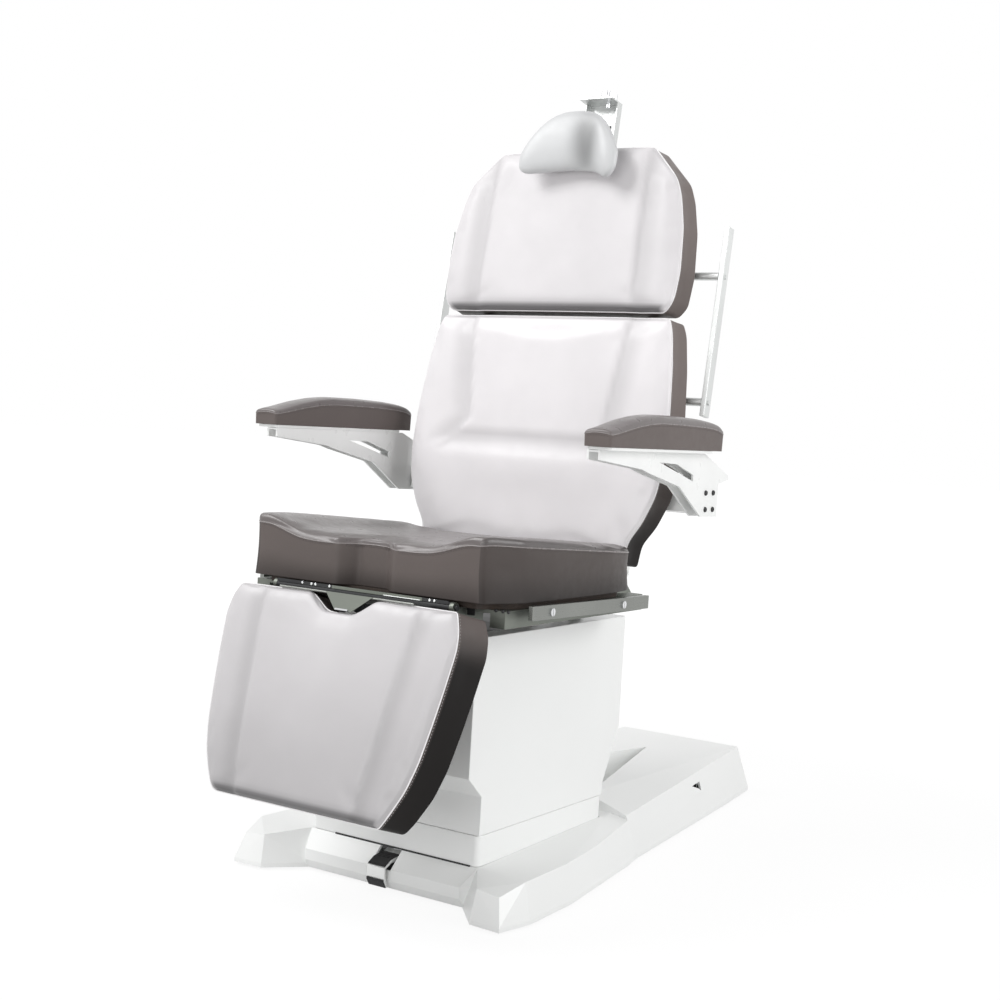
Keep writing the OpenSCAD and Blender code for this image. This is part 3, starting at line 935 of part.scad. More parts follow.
module headrest_knob() color("silver") back_place() translate([head_plate_w / 4, head_plate_y - head_flange / 2, head_plate_top]) {
  translate([0, 0, -knob_h]) cylinder(r = head_pivot_r, h = knob_h + cut);
  translate([0, 0, seat_gap]) cylinder(r = knob_r * 0.6, h = plate_t + cut);
  translate([0, 0, plate_t]) difference() {
    cylinder(r = knob_r, h = knob_h - plate_t);
    for (i = [0:5]) rotate([0, 0, 60 * i]) translate([knob_r * 1.12, 0, -cut]) cylinder(r = knob_r * 0.3, h = knob_h);
  }
}
module headrest_shell() color("dimgray") back_place() translate([head_side, 0, 0]) {
  block([-head_w * 0.3, head_w * 0.3], [head_mid_y + head_t / 2 + seat_gap, head_mid_y + head_t / 2 + cover_wall], [head_top_s - head_h * 0.78, head_top_s - head_h * 0.2]);
  block([-head_arm_w / 2 + bar_t + panel_gap, head_arm_w / 2 - bar_t - panel_gap], [head_mid_y + head_t / 2 + cover_wall - cut, head_pivot_y + 2 * head_pivot_r], [head_arm_s + cut, head_arm_s + head_arm_h - cut]);
  translate([0, head_pivot_y, head_arm_s + head_arm_h / 2]) rod_x(head_pivot_r * 0.8, [-head_arm_w / 2, head_arm_w / 2]);
}
// The headrest cushion is swept from wing to wing: the wings reach forward and hang lower
head_steps = 16;
head_sides = 14;
head_reach = 20;
module headrest_cushion() color("gray") back_place() translate([head_side, 0, 0]) skin_rings([for (i = [0:head_steps]) let(
  u = -1 + 2 * i / head_steps,
  taper = sqrt(max(0.012, 1 - pow(abs(u), 2.6))),
  x = head_w / 2 * u,
  mid_y = head_mid_y - head_reach * pow(abs(u), 2.2) * (1 - 0.25 * pow(abs(u), 6)),
  low = head_top_s - head_h + head_h * 0.05 * (1 - abs(u)) - head_h * 0.2 * pow(abs(u), 3) + head_h * 0.2 * pow(abs(u), 12),
  high = head_top_s - head_h * 0.6 * pow(abs(u), 2.6))
  [for (k = [0:head_sides - 1]) let(w = 360 * k / head_sides)
    [x, mid_y + head_t / 2 * taper * cos(w), (low + high) / 2 + max(6 * cut, (high - low) / 2) * (0.4 + 0.6 * taper) * sin(w)]]]);

// Arm rests. The pad, plate and bracket stay level while the back folds
arm_plate_t = 5;
module arm_side(s) { if (s > 0) children(); else mirror([1, 0, 0]) children(); }
arm_stations = [0, 0.012, 0.035, 0.09, 0.17, 0.27, 0.38, 0.5, 0.65, 0.8, 0.9, 0.95, 0.985, 1];
arm_top_shares = [[0, 33], [0.05, 36], [0.19, 50], [0.3, 58], [0.4, 62], [0.6, 62], [0.8, 60], [0.9, 57], [0.96, 53], [1, 46]];
arm_across_half = 8;
module arm_pad(s) color("dimgray") layout() arm_side(s) skin_rings([for (t = arm_stations) let(
  half = arm_w / 2 * (0.93 + 0.07 * end_rise(t)),
  top = arm_h * lookup(t, arm_top_shares) / 62,
  ring = concat([for (i = [2:-1:-2]) [half * 0.94 * i / 2, 0]],
    [for (v = [0.35, 0.75]) [-half * (0.96 + 0.04 * v), (top - arm_roll) * v]],
    [for (i = [-4:4]) let(a = i / 4) [half * (abs(a) == 1 ? a : a * 0.95), top - arm_roll * pow(abs(a), 4)]],
    [for (v = [0.75, 0.35]) [half * (0.96 + 0.04 * v), (top - arm_roll) * v]]))
  [for (p = ring) [arm_x + p[0], -arm_front + t * arm_l, arm_z + seat_gap + p[1] * (0.9 + 0.1 * end_rise(t))]]]);
arm_h = 62;
arm_roll = 6;
arm_plate_l = 410;
module arm_plate(s) color("white") layout() arm_side(s) difference() {
  translate([0, 0, arm_z - arm_plate_t]) linear_extrude(arm_plate_t)
    round_rect([arm_x - arm_w / 2 + cover_wall, arm_x + arm_w / 2 - cover_wall], [-arm_front + 2 * cover_wall, -arm_front + arm_plate_l], 2 * cover_wall);
  for (y = [0.12, 0.62]) translate([arm_x, -arm_front + y * arm_plate_l, arm_z - 2 * arm_plate_t]) cylinder(r = cover_wall, h = 3 * arm_plate_t);
}
// Side view of a bracket cheek: places down from the plate and along the arm
channel_h = 17;
// Drops below the plate are counted in hundredths of the arm pad's length
function cheek_outline() = let(top = arm_z - arm_plate_t - seat_gap, f = -arm_front, u = arm_l / 100) [
  [f + 2.5 * u, top], [f + 2.5 * u, top - channel_h], [f + 37.5 * u, top - channel_h - 3.4 * u], [f + 44 * u, top - channel_h - 5 * u], [f + 71.5 * u, top - 14.2 * u],
  [arm_pivot_y - 12.8 * u, arm_pivot_z - 5.6 * u], [arm_pivot_y + 3.4 * u, arm_pivot_z - 6 * u], [arm_pivot_y + 3.8 * u, arm_pivot_z + 8.5 * u],
  [arm_pivot_y + 13.9 * u, arm_pivot_z + 10.3 * u], [arm_pivot_y + 13.5 * u, arm_pivot_z + 12.1 * u], [f + arm_plate_l + 1.8 * u, top]];
function cheek_window() = let(top = arm_z - arm_plate_t, f = -arm_front, u = arm_l / 100) [
  [f + 52 * u, top - 4.3 * u], [f + 68 * u, top - 4.9 * u], [f + 84 * u, top - 9.4 * u], [f + 84 * u, top - 12.1 * u], [f + 68 * u, top - 8.1 * u]];
module arm_bracket(s) color("white") layout() arm_side(s) difference() {
  union() {
    difference() {
      for (x = [cheek_in_x, cheek_out_x]) plate_x([x, x + cheek_t], cheek_outline());
      plate_x([cheek_in_x - cut, cheek_out_x + 2 * cheek_t], cheek_window());
    }
    block([cheek_in_x + cut, cheek_out_x + cheek_t - cut], [-arm_front + 12, -arm_front + arm_plate_l], [arm_z - arm_plate_t - seat_gap - cheek_t, arm_z - arm_plate_t - seat_gap - skin]);
    translate([0, arm_pivot_y, arm_pivot_z]) rod_x(2 * arm_shaft_r, [cheek_in_x + cut, cheek_out_x + cut]);
  }
  translate([0, arm_pivot_y, arm_pivot_z]) rod_x(arm_shaft_r + fit, [cheek_in_x - cut, cheek_out_x]);
}
// A flat bar with two round ends, from the axis of its frame to a point in Y and Z
module bar_arm(x, r, to) {
  rod_x(r, x);
  translate([0, to[0], to[1]]) rod_x(r, x);
  rotate([-atan2(to[0], to[1]), 0, 0]) block([x[0] + skin, x[1] - skin], [-link_r * 0.7, link_r * 0.7], [0, norm(to)]);
}
// Shaft that the bracket is clamped to, with the crank that keeps the arm rest level
module arm_shaft(s) color("silver") layout() arm_side(s) translate([0, arm_pivot_y, arm_pivot_z]) {
  rod_x(arm_shaft_r, [crank_x, cheek_out_x - seat_gap]);
  bar_arm([crank_x, crank_x + link_t], link_r + cut, [link_dy, link_dz]);
  translate([0, link_dy, link_dz]) rod_x(link_pin_r, [link_x - 2, crank_x + link_t]);
}
module arm_link(s) color("silver") layout() arm_side(s) translate([0, back_hinge_y + link_dy, back_hinge_z + link_dz]) difference() {
  bar_arm([link_x, link_x + link_t], link_r + cut, [arm_pivot_y - back_hinge_y, arm_pivot_z - back_hinge_z]);
  rod_x(link_pin_r + fit, [link_x - cut, link_x + link_t + cut]);
  translate([0, arm_pivot_y - back_hinge_y, arm_pivot_z - back_hinge_z]) rod_x(link_pin_r + fit, [link_x - cut, link_x + link_t + cut]);
}

base_frame();
levelling_feet();
base_cover();
rear_cover();
pedestal_collar();
inner_shroud();
lift_column_outer();
column_bolts();
lift_drive();
control_box();
socket_panel();
power_inlet();
signal_sockets();
mains_switch();
pedal_shaft();
brake_pedal();
lift_column_inner();
lift_rod();
carrier_head();
upper_shroud();
tilt_pins();
tilt_actuator();
tilt_rod();
seat_frame();
seat_board();
seat_cushion();
side_rails();
rail_screws();
back_hinge_pins();
legrest_shaft();
leg_actuator();
back_actuator();
leg_rod();
back_rod();
legrest_frame();
legrest_board();
legrest_cushion();
legrest_v_plate();
back_frame();
lower_back_board();
lower_back_cushion();
upper_back_board();
upper_back_cushion();
grab_rails();
rail_standoffs();
headrest_socket();
headrest_bracket();
headrest_knob();
headrest_shell();
headrest_cushion();
arm_bracket(1);  // arm_bracket_left
arm_bracket(-1);  // arm_bracket_right
arm_plate(1);  // arm_plate_left
arm_plate(-1);  // arm_plate_right
arm_pad(1);  // arm_pad_left
arm_pad(-1);  // arm_pad_right
arm_shaft(1);  // arm_shaft_left
arm_shaft(-1);  // arm_shaft_right
arm_link(1);  // arm_link_left
arm_link(-1);  // arm_link_right
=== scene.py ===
import math

import bmesh
import bpy
import numpy as np
from mathutils import Matrix, Vector


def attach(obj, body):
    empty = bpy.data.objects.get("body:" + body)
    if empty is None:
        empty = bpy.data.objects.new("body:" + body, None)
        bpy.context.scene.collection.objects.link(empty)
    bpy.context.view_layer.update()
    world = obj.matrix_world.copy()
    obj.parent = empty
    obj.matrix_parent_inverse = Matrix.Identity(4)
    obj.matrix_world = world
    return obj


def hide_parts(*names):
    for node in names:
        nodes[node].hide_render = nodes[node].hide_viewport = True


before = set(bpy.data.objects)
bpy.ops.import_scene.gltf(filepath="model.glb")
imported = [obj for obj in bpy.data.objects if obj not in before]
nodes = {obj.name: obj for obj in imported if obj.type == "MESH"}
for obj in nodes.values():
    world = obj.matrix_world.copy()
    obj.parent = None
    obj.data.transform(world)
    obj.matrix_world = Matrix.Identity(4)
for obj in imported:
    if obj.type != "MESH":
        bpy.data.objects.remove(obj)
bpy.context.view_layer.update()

# Frames of the CAD model, in metres: the seat stands upright, the back and the leg section lean
MID_Y = 0.21404
BACK_LEAN = math.radians(9)
LEG_LEAN = math.radians(17.6)


def leaning(lean, y, z):
    """Matrix of a frame that leans about the X axis, with its origin on a hinge line."""
    c, s = math.cos(lean), math.sin(lean)
    return Matrix(((1, 0, 0, 0), (0, c, s, y - MID_Y), (0, -s, c, z), (0, 0, 0, 1)))


LEVEL = leaning(0, 0, 0)
BACK = leaning(BACK_LEAN, 0.165, 0.580)
LEG = leaning(LEG_LEAN, -0.375, 0.546)


def transform(m, pts):
    a = np.array(m, float)
    return np.asarray(pts, float) @ a[:3, :3].T + a[:3, 3]


def smooth_lookup(x, table, soft=0.016):
    """Value at x of the straight lines through the table's points, with slightly rounded corners."""
    xs, ys = zip(*table)
    low, high = xs[0], xs[-1]
    reach = np.minimum(soft, np.minimum(np.abs(x - low), np.abs(high - x)))
    return sum(np.interp(x + reach * k / 3, xs, ys) for k in range(-3, 4)) / 7


def bell(x, w):
    """1 at zero, falling off over a width."""
    return np.exp(-((x / w) ** 2))


def end_rise(t):
    """Height share along a pad: a quarter round over its first and last twentieth."""
    d = np.minimum(t, 1 - t) / 0.05
    return np.where(d >= 1, 1, np.sqrt(np.clip(1 - (1 - d) ** 2, 0, 1)))


def notch(x, outer, inner):
    """Depth share across a notch: full inside the inner half width, none past the outer one."""
    return np.clip((outer - np.abs(x)) / (outer - inner), 0, 1)


def soft_step(x):
    """0 to 1 with a slow start and a slow end."""
    x = np.clip(x, 0, 1)
    return x * x * (3 - 2 * x)


# Materials
class Tree:
    """The node tree of a material or a world, with its nodes added one call at a time."""

    def __init__(self, owner):
        self.owner = owner
        owner.use_nodes = True
        self.tree = owner.node_tree
        self.tree.nodes.clear()

    def add(self, kind, values=None, **attributes):
        node = self.tree.nodes.new(kind)
        for key, value in attributes.items():
            setattr(node, key, value)
        for key, value in (values or {}).items():
            socket = node.inputs[key]
            if isinstance(value, bpy.types.NodeSocket):
                self.tree.links.new(value, socket)
            else:
                socket.default_value = value
        return node

    def coords(self, scale=(1, 1, 1)):
        tex = self.add("ShaderNodeTexCoord")
        if tuple(scale) == (1, 1, 1):
            return tex.outputs["Object"]
        return self.add("ShaderNodeMapping", {"Vector": tex.outputs["Object"], "Scale": scale}).outputs[0]

    def noise(self, scale, detail=3, rough=0.5, vector=None):
        node = self.add(
            "ShaderNodeTexNoise",
            {"Vector": vector or self.coords(), "Scale": scale, "Detail": detail, "Roughness": rough},
        )
        return node.outputs["Fac"]

    def spread(self, value, low, high):
        """The share 0 to 1 of a value, stretched to low to high."""
        return self.add(
            "ShaderNodeMapRange",
            {"Value": value, "From Min": 0.3, "From Max": 0.7, "To Min": low, "To Max": high},
        ).outputs[0]

    def tint(self, value, dark, light):
        return self.add(
            "ShaderNodeMix", {"Factor": value, "A": dark, "B": light}, data_type="RGBA"
        ).outputs["Result"]

    def bump(self, height, strength, distance, normal=None):
        values = {"Height": height, "Strength": strength, "Distance": distance}
        if normal is not None:
            values["Normal"] = normal
        return self.add("ShaderNodeBump", values).outputs[0]

    def surface(self, color, rough, normal, **more):
        values = {"Base Color": color, "Roughness": rough, "Normal": normal}
        values.update({k.replace("_", " "): v for k, v in more.items()})
        shader = self.add("ShaderNodeBsdfPrincipled", values)
        self.add("ShaderNodeOutputMaterial", {"Surface": shader.outputs[0]})
        return self.owner

    def backdrop_rays(self):
        """1 for the rays that see the backdrop: the camera's own, and those off gloss and through glass."""
        ray = self.add("ShaderNodeLightPath")
        seen = ray.outputs["Is Camera Ray"]
        for kind in ("Is Glossy Ray", "Is Transmission Ray"):
            seen = self.add("ShaderNodeMath", {0: seen, 1: ray.outputs[kind]}, operation="MAXIMUM").outputs[0]
        return seen


def new_material(name):
    return Tree(bpy.data.materials.new(name))


def linear(r, g, b):
    """Display colour, 0 to 255, as the linear colour a shader takes."""
    def one(v):
        v = v / 255
        return v / 12.92 if v <= 0.04045 else ((v + 0.055) / 1.055) ** 2.4

    return (one(r), one(g), one(b), 1)


def shade(color, share):
    """The colour at a share of its brightness."""
    return (color[0] * share, color[1] * share, color[2] * share, 1)


def vinyl(name, color, rough, grain, coat, takes_painted_shade=False, gloss=0.5):
    """Grained upholstery vinyl: a fine pebble, soft unevenness and a faint colour drift. Where asked, a point
    attribute darkens it as painted shade, in its hollows and on its shaded faces.
    """
    t = new_material(name)
    big = t.spread(t.noise(5, 3), 0, 1)
    base = t.tint(big, shade(color, 0.93), shade(color, 1.04))
    # Painted shade: the point attribute mixes the colour down towards 4% of it
    if takes_painted_shade:
        tone_and_painted_shade = t.add("ShaderNodeAttribute", attribute_name="tone_and_painted_shade").outputs["Fac"]
        base = t.tint(tone_and_painted_shade, shade(color, 0.04), base)
    pebble = t.add(
        "ShaderNodeTexVoronoi", {"Vector": t.coords(), "Scale": 850, "Randomness": 0.9}, feature="SMOOTH_F1"
    ).outputs["Distance"]
    uneven = t.bump(t.noise(34, 3, 0.5), 0.25, 0.0012)
    fine = t.bump(t.noise(2200, 2), 0.12, 0.0001, uneven)
    normal = t.bump(pebble, grain, 0.00022, fine)
    return t.surface(
        base, t.spread(t.noise(60, 3), rough - 0.05, rough + 0.07), normal,
        Coat_Weight=coat, Coat_Roughness=0.35, Specular_IOR_Level=gloss,
    )


def moulded(name, color, rough=0.3, coat=0.2):
    """Gloss moulded plastic: a faint flow drift, slow waves and dust-dulled patches."""
    t = new_material(name)
    base = t.tint(t.spread(t.noise(2.2, 3), 0, 1), shade(color, 0.97), color)
    normal = t.bump(t.noise(14, 2), 0.06, 0.0005)
    return t.surface(
        base, t.spread(t.noise(5, 2), rough - 0.02, rough + 0.05), normal,
        Coat_Weight=coat, Coat_Roughness=0.25,
    )


def painted(name, color, rough):
    """Powder-coated steel: a fine even texture and a slightly worn, uneven colour."""
    t = new_material(name)
    base = t.tint(t.spread(t.noise(9, 4), 0, 1), shade(color, 0.93), color)
    texture = t.bump(t.noise(900, 2), 0.05, 0.00005)
    normal = t.bump(t.noise(40, 2), 0.06, 0.0004, texture)
    return t.surface(base, t.spread(t.noise(30, 2), rough - 0.04, rough + 0.06), normal)


def brushed(name, color, along, rough=0.3, metallic=1.0):
    """Brushed steel: fine lines along one axis, with smudges."""
    t = new_material(name)
    scale = [900, 900, 900]
    scale[along] = 14
    lines = t.noise(1, 3, 0.6, t.coords(scale))
    base = t.tint(t.spread(t.noise(7, 4), 0, 1), shade(color, 0.86), color)
    normal = t.bump(lines, 0.22, 0.00012)
    return t.surface(base, t.spread(lines, rough - 0.06, rough + 0.1), normal, Metallic=metallic)


def plain_metal(name, color, rough):
    """Bare metal with faint marks and smudges."""
    t = new_material(name)
    base = t.tint(t.spread(t.noise(30, 4), 0, 1), shade(color, 0.88), color)
    normal = t.bump(t.noise(420, 3), 0.08, 0.00012)
    return t.surface(base, t.spread(t.noise(90, 3), rough - 0.05, rough + 0.08), normal, Metallic=1.0)


def dull_plastic(name, color, rough):
    """Textured matt plastic, as on drives, sockets and caps."""
    t = new_material(name)
    base = t.tint(t.spread(t.noise(18, 4), 0, 1), shade(color, 0.82), shade(color, 1.08))
    normal = t.bump(t.noise(1400, 2), 0.2, 0.00012)
    return t.surface(base, t.spread(t.noise(80, 3), rough - 0.08, rough + 0.1), normal)


def plywood(name):
    """Dark-stained ply board with long grain."""
    t = new_material(name)
    grain = t.noise(1, 6, 0.65, t.coords((60, 60, 4)))
    base = t.tint(t.spread(grain, 0, 1), linear(44, 36, 32), linear(66, 54, 46))
    normal = t.bump(grain, 0.3, 0.0004)
    return t.surface(base, t.spread(grain, 0.62, 0.78), normal)


def rubber(name):
    """Matt black rubber with a fine texture."""
    t = new_material(name)
    base = t.tint(t.spread(t.noise(26, 4), 0, 1), linear(20, 20, 21), linear(44, 44, 45))
    normal = t.bump(t.noise(900, 2), 0.3, 0.0002)
    return t.surface(base, t.spread(t.noise(60, 3), 0.7, 0.85), normal)


LIGHT = vinyl("vinyl_light", linear(238, 235, 237), 0.4, 0.22, 0.15, True)
DARK = vinyl("vinyl_dark", linear(122, 113, 110), 0.42, 0.3, 0.0, True, 0.16)
SHEEN = vinyl("vinyl_dark_top", linear(120, 112, 111), 0.32, 0.3, 0.35, True, 0.5)
GREY = vinyl("vinyl_headrest", linear(216, 217, 218), 0.4, 0.2, 0.15, True)
PIPING = vinyl("vinyl_piping", linear(240, 238, 239), 0.3, 0.2, 0.3)
PIPING_DARK = vinyl("vinyl_piping_dark", linear(128, 121, 120), 0.26, 0.25, 0.4)
THREAD = dull_plastic("thread", linear(188, 184, 186), 0.6)
THREAD_DARK = dull_plastic("thread_dark", linear(84, 78, 78), 0.6)
COVER = moulded("cover_white", linear(250, 251, 250))
WHITE_METAL = painted("paint_white", linear(250, 251, 250), 0.3)
GREY_METAL = painted("paint_panel_grey", linear(222, 226, 225), 0.35)
FRAME_BLACK = painted("paint_black", linear(46, 47, 49), 0.45)
STEEL_X = brushed("steel_across", linear(150, 152, 148), 0)
STEEL_Y = brushed("steel_lengthwise", linear(138, 140, 136), 1)
STEEL_Z = brushed("steel_upright", linear(226, 228, 227), 2, 0.36, 0.7)
SEAT_STEEL = brushed("steel_seat", linear(122, 126, 119), 0, 0.42, 0.8)
PEDAL = brushed("steel_pedal", linear(228, 229, 228), 0, 0.32, 0.8)
ZINC = plain_metal("zinc", linear(178, 180, 180), 0.28)
CHROME = plain_metal("chrome", linear(225, 226, 228), 0.1)
ALUMINIUM = brushed("aluminium", linear(192, 195, 197), 2, 0.35)
BLACK = dull_plastic("plastic_black", linear(28, 28, 30), 0.42)
DRIVE = dull_plastic("plastic_drive", linear(70, 72, 75), 0.5)
PLY = plywood("plywood")
RUBBER = rubber("rubber")

node_materials = {
    COVER: "base_cover rear_cover pedestal_collar inner_shroud upper_shroud",
    SEAT_STEEL: "seat_frame",
    WHITE_METAL: "back_frame arm_bracket_left arm_bracket_right arm_plate_left arm_plate_right",
    GREY_METAL: "socket_panel",
    # legrest_frame and legrest_shaft take the black paint as painted shade, for the shade they sit in under
    # the seat front
    FRAME_BLACK: "base_frame carrier_head legrest_frame legrest_shaft",
    STEEL_X: "legrest_v_plate",
    STEEL_Y: "side_rails",
    PEDAL: "brake_pedal",
    STEEL_Z: "grab_rails headrest_bracket rail_standoffs",
    ZINC: (
        "column_bolts lift_rod tilt_rod leg_rod back_rod tilt_pins back_hinge_pins pedal_shaft "
        "arm_shaft_left arm_shaft_right arm_link_left arm_link_right"
    ),
    CHROME: "headrest_knob rail_screws",
    ALUMINIUM: "lift_column_outer lift_column_inner",
    BLACK: "power_inlet signal_sockets mains_switch headrest_socket headrest_shell",
    DRIVE: "lift_drive tilt_actuator leg_actuator back_actuator control_box",
    PLY: "seat_board legrest_board lower_back_board upper_back_board",
    RUBBER: "levelling_feet",
    DARK: "seat_cushion arm_pad_left arm_pad_right",
    LIGHT: "legrest_cushion lower_back_cushion upper_back_cushion",
    GREY: "headrest_cushion",
}
for material, names in node_materials.items():
    for name in names.split():
        data = nodes[name].data
        data.materials.clear()
        data.materials.append(material)


def soften(names, width, segments, angle=32):
    """Rounds the edges of CAD nodes in the render: welds corners, clears flat faces, then bevels."""
    for name in names.split():
        soften_one(name, width, segments, angle)


def soften_one(name, width, segments, angle):
    o = nodes[name]
    weld = o.modifiers.new("weld", "WELD")
    weld.merge_threshold = 2e-5
    flat = o.modifiers.new("flat", "DECIMATE")
    flat.decimate_type = "DISSOLVE"
    flat.angle_limit = math.radians(0.2)
    bevel = o.modifiers.new("bevel", "BEVEL")
    bevel.width = width
    bevel.segments = segments
    bevel.limit_method = "ANGLE"
    bevel.angle_limit = math.radians(angle)
    bevel.harden_normals = False
    o.data.polygons.foreach_set("use_smooth", [True] * len(o.data.polygons))
    smooth = o.modifiers.new("normals", "WEIGHTED_NORMAL")
    smooth.keep_sharp = False


# Pieces
def piece(name, points, faces, material, body, slot, smooth=True):
    """A new piece from points and faces, with its material and its body. Its material slot is not used."""
    mesh = bpy.data.meshes.new(name)
    mesh.from_pydata([tuple(p) for p in points], [], [tuple(f) for f in faces])
    mesh.materials.append(material)
    o = bpy.data.objects.new(name, mesh)
    bpy.context.scene.collection.objects.link(o)
    tidy = bmesh.new()
    tidy.from_mesh(mesh)
    bmesh.ops.recalc_face_normals(tidy, faces=tidy.faces)
    tidy.to_mesh(mesh)
    tidy.free()
    mesh.polygons.foreach_set("use_smooth", [smooth] * len(mesh.polygons))
    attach(o, body)
    return o


def merged(name, parts, material, body, slot, smooth=True):
    """One piece from several (points, faces) parts."""
    points, faces, start = [], [], 0
    for pts, fcs in parts:
        points.extend(pts)
        faces.extend([[i + start for i in f] for f in fcs])
        start += len(pts)
    return piece(name, points, faces, material, body, slot, smooth)


def axes_of(direction):
    """The direction and two axes square to it."""
    n = Vector(direction).normalized()
    u = n.cross(Vector((0, 0, 1)))
    if u.length < 1e-6:
        u = n.cross(Vector((1, 0, 0)))
    u.normalize()
    return n, u, n.cross(u)


def lathe(centre, direction, profile, sides):
    """Solid of revolution from (radius, height) pairs along a direction. Ends with radius 0 close it."""
    n, u, v = axes_of(direction)
    c = Vector(centre)
    points, faces, rings = [], [], []
    for r, h in profile:
        if r < 1e-7:
            rings.append([len(points)])
            points.append(c + n * h)
        else:
            rings.append(list(range(len(points), len(points) + sides)))
            for k in range(sides):
                w = 2 * math.pi * k / sides
                points.append(c + n * h + (u * math.cos(w) + v * math.sin(w)) * r)
    for a, b in zip(rings, rings[1:]):
        for k in range(sides):
            m = (k + 1) % sides
            if len(a) == 1:
                faces.append([a[0], b[k], b[m]])
            elif len(b) == 1:
                faces.append([a[k], b[0], a[m]])
            else:
                faces.append([a[k], b[k], b[m], a[m]])
    return points, faces


def tube(path, radius, sides, closed=True):
    """Round tube along a closed or open path of points."""
    pts = [Vector(p) for p in path]
    count = len(pts)
    points, faces = [], []
    previous = None
    for i, p in enumerate(pts):
        ahead = pts[(i + 1) % count] if closed or i + 1 < count else p
        behind = pts[(i - 1) % count] if closed or i > 0 else p
        n = (ahead - behind).normalized()
        if previous is None:
            u = axes_of(n)[1]
        else:
            u = previous - n * previous.dot(n)
            u.normalize()
        previous = u
        v = n.cross(u)
        for k in range(sides):
            w = 2 * math.pi * k / sides
            points.append(p + (u * math.cos(w) + v * math.sin(w)) * radius)
    for i in range(count if closed else count - 1):
        a, b = i * sides, ((i + 1) % count) * sides
        for k in range(sides):
            m = (k + 1) % sides
            faces.append([a + k, a + m, b + m, b + k])
    if not closed:
        faces.append(list(range(sides))[::-1])
        faces.append([(count - 1) * sides + k for k in range(sides)])
    return points, faces


def resample(path, step):
    """Closed path with points at even distances."""
    pts = np.array([tuple(p) for p in path], float)
    ring = np.vstack([pts, pts[:1]])
    lengths = np.linalg.norm(np.diff(ring, axis=0), axis=1)
    total = np.concatenate([[0], np.cumsum(lengths)])
    count = max(8, int(total[-1] / step))
    at = np.arange(count) * total[-1] / count
    return np.stack([np.interp(at, total, ring[:, c]) for c in range(3)], axis=1)


def smoothed(path, rounds):
    """Closed path with its corners eased by averaging each point with its neighbours."""
    pts = np.array(path, float)
    for _ in range(rounds):
        pts = 0.5 * pts + 0.25 * (np.roll(pts, 1, 0) + np.roll(pts, -1, 0))
    return pts


def stitches(path, length, gap, radius, outward):
    """Small thread loops along a closed path, lifted along the outward direction at each."""
    parts = []
    pts = resample(path, length + gap)
    count = len(pts)
    for i in range(count):
        a = Vector(pts[i])
        b = Vector(pts[(i + 1) % count])
        along = b - a
        if along.length < 1e-6:
            continue
        end = a + along * (length / along.length)
        mid = (a + end) / 2
        lift = outward(mid) * radius
        inset = (end - a) * 0.2
        arc = [a - lift, a + inset + lift * 0.7, mid + lift, end - inset + lift * 0.7, end - lift]
        parts.append(tube(arc, radius, 5, closed=False))
    return parts


# Pads
PRESSURE = 3.0
FILL_FRAMES = 20
CACHE_FRAMES = 24
HELD_FOOT = 0.003
STITCH_DROP = 0.004


def rows(total, edge, step):
    """Places from 0 to total: close rows that turn a rounded edge at both ends, even rows between."""
    turn = [edge * (1 - math.tan(math.radians(w))) for w in (45, 33.75, 22.5, 11.25)] + [edge]
    turn[0] = 0.0
    inner = total - 2 * edge
    count = max(2, round(inner / step))
    middle = [edge + inner * i / count for i in range(1, count)]
    return turn + middle + [total - t for t in reversed(turn)]


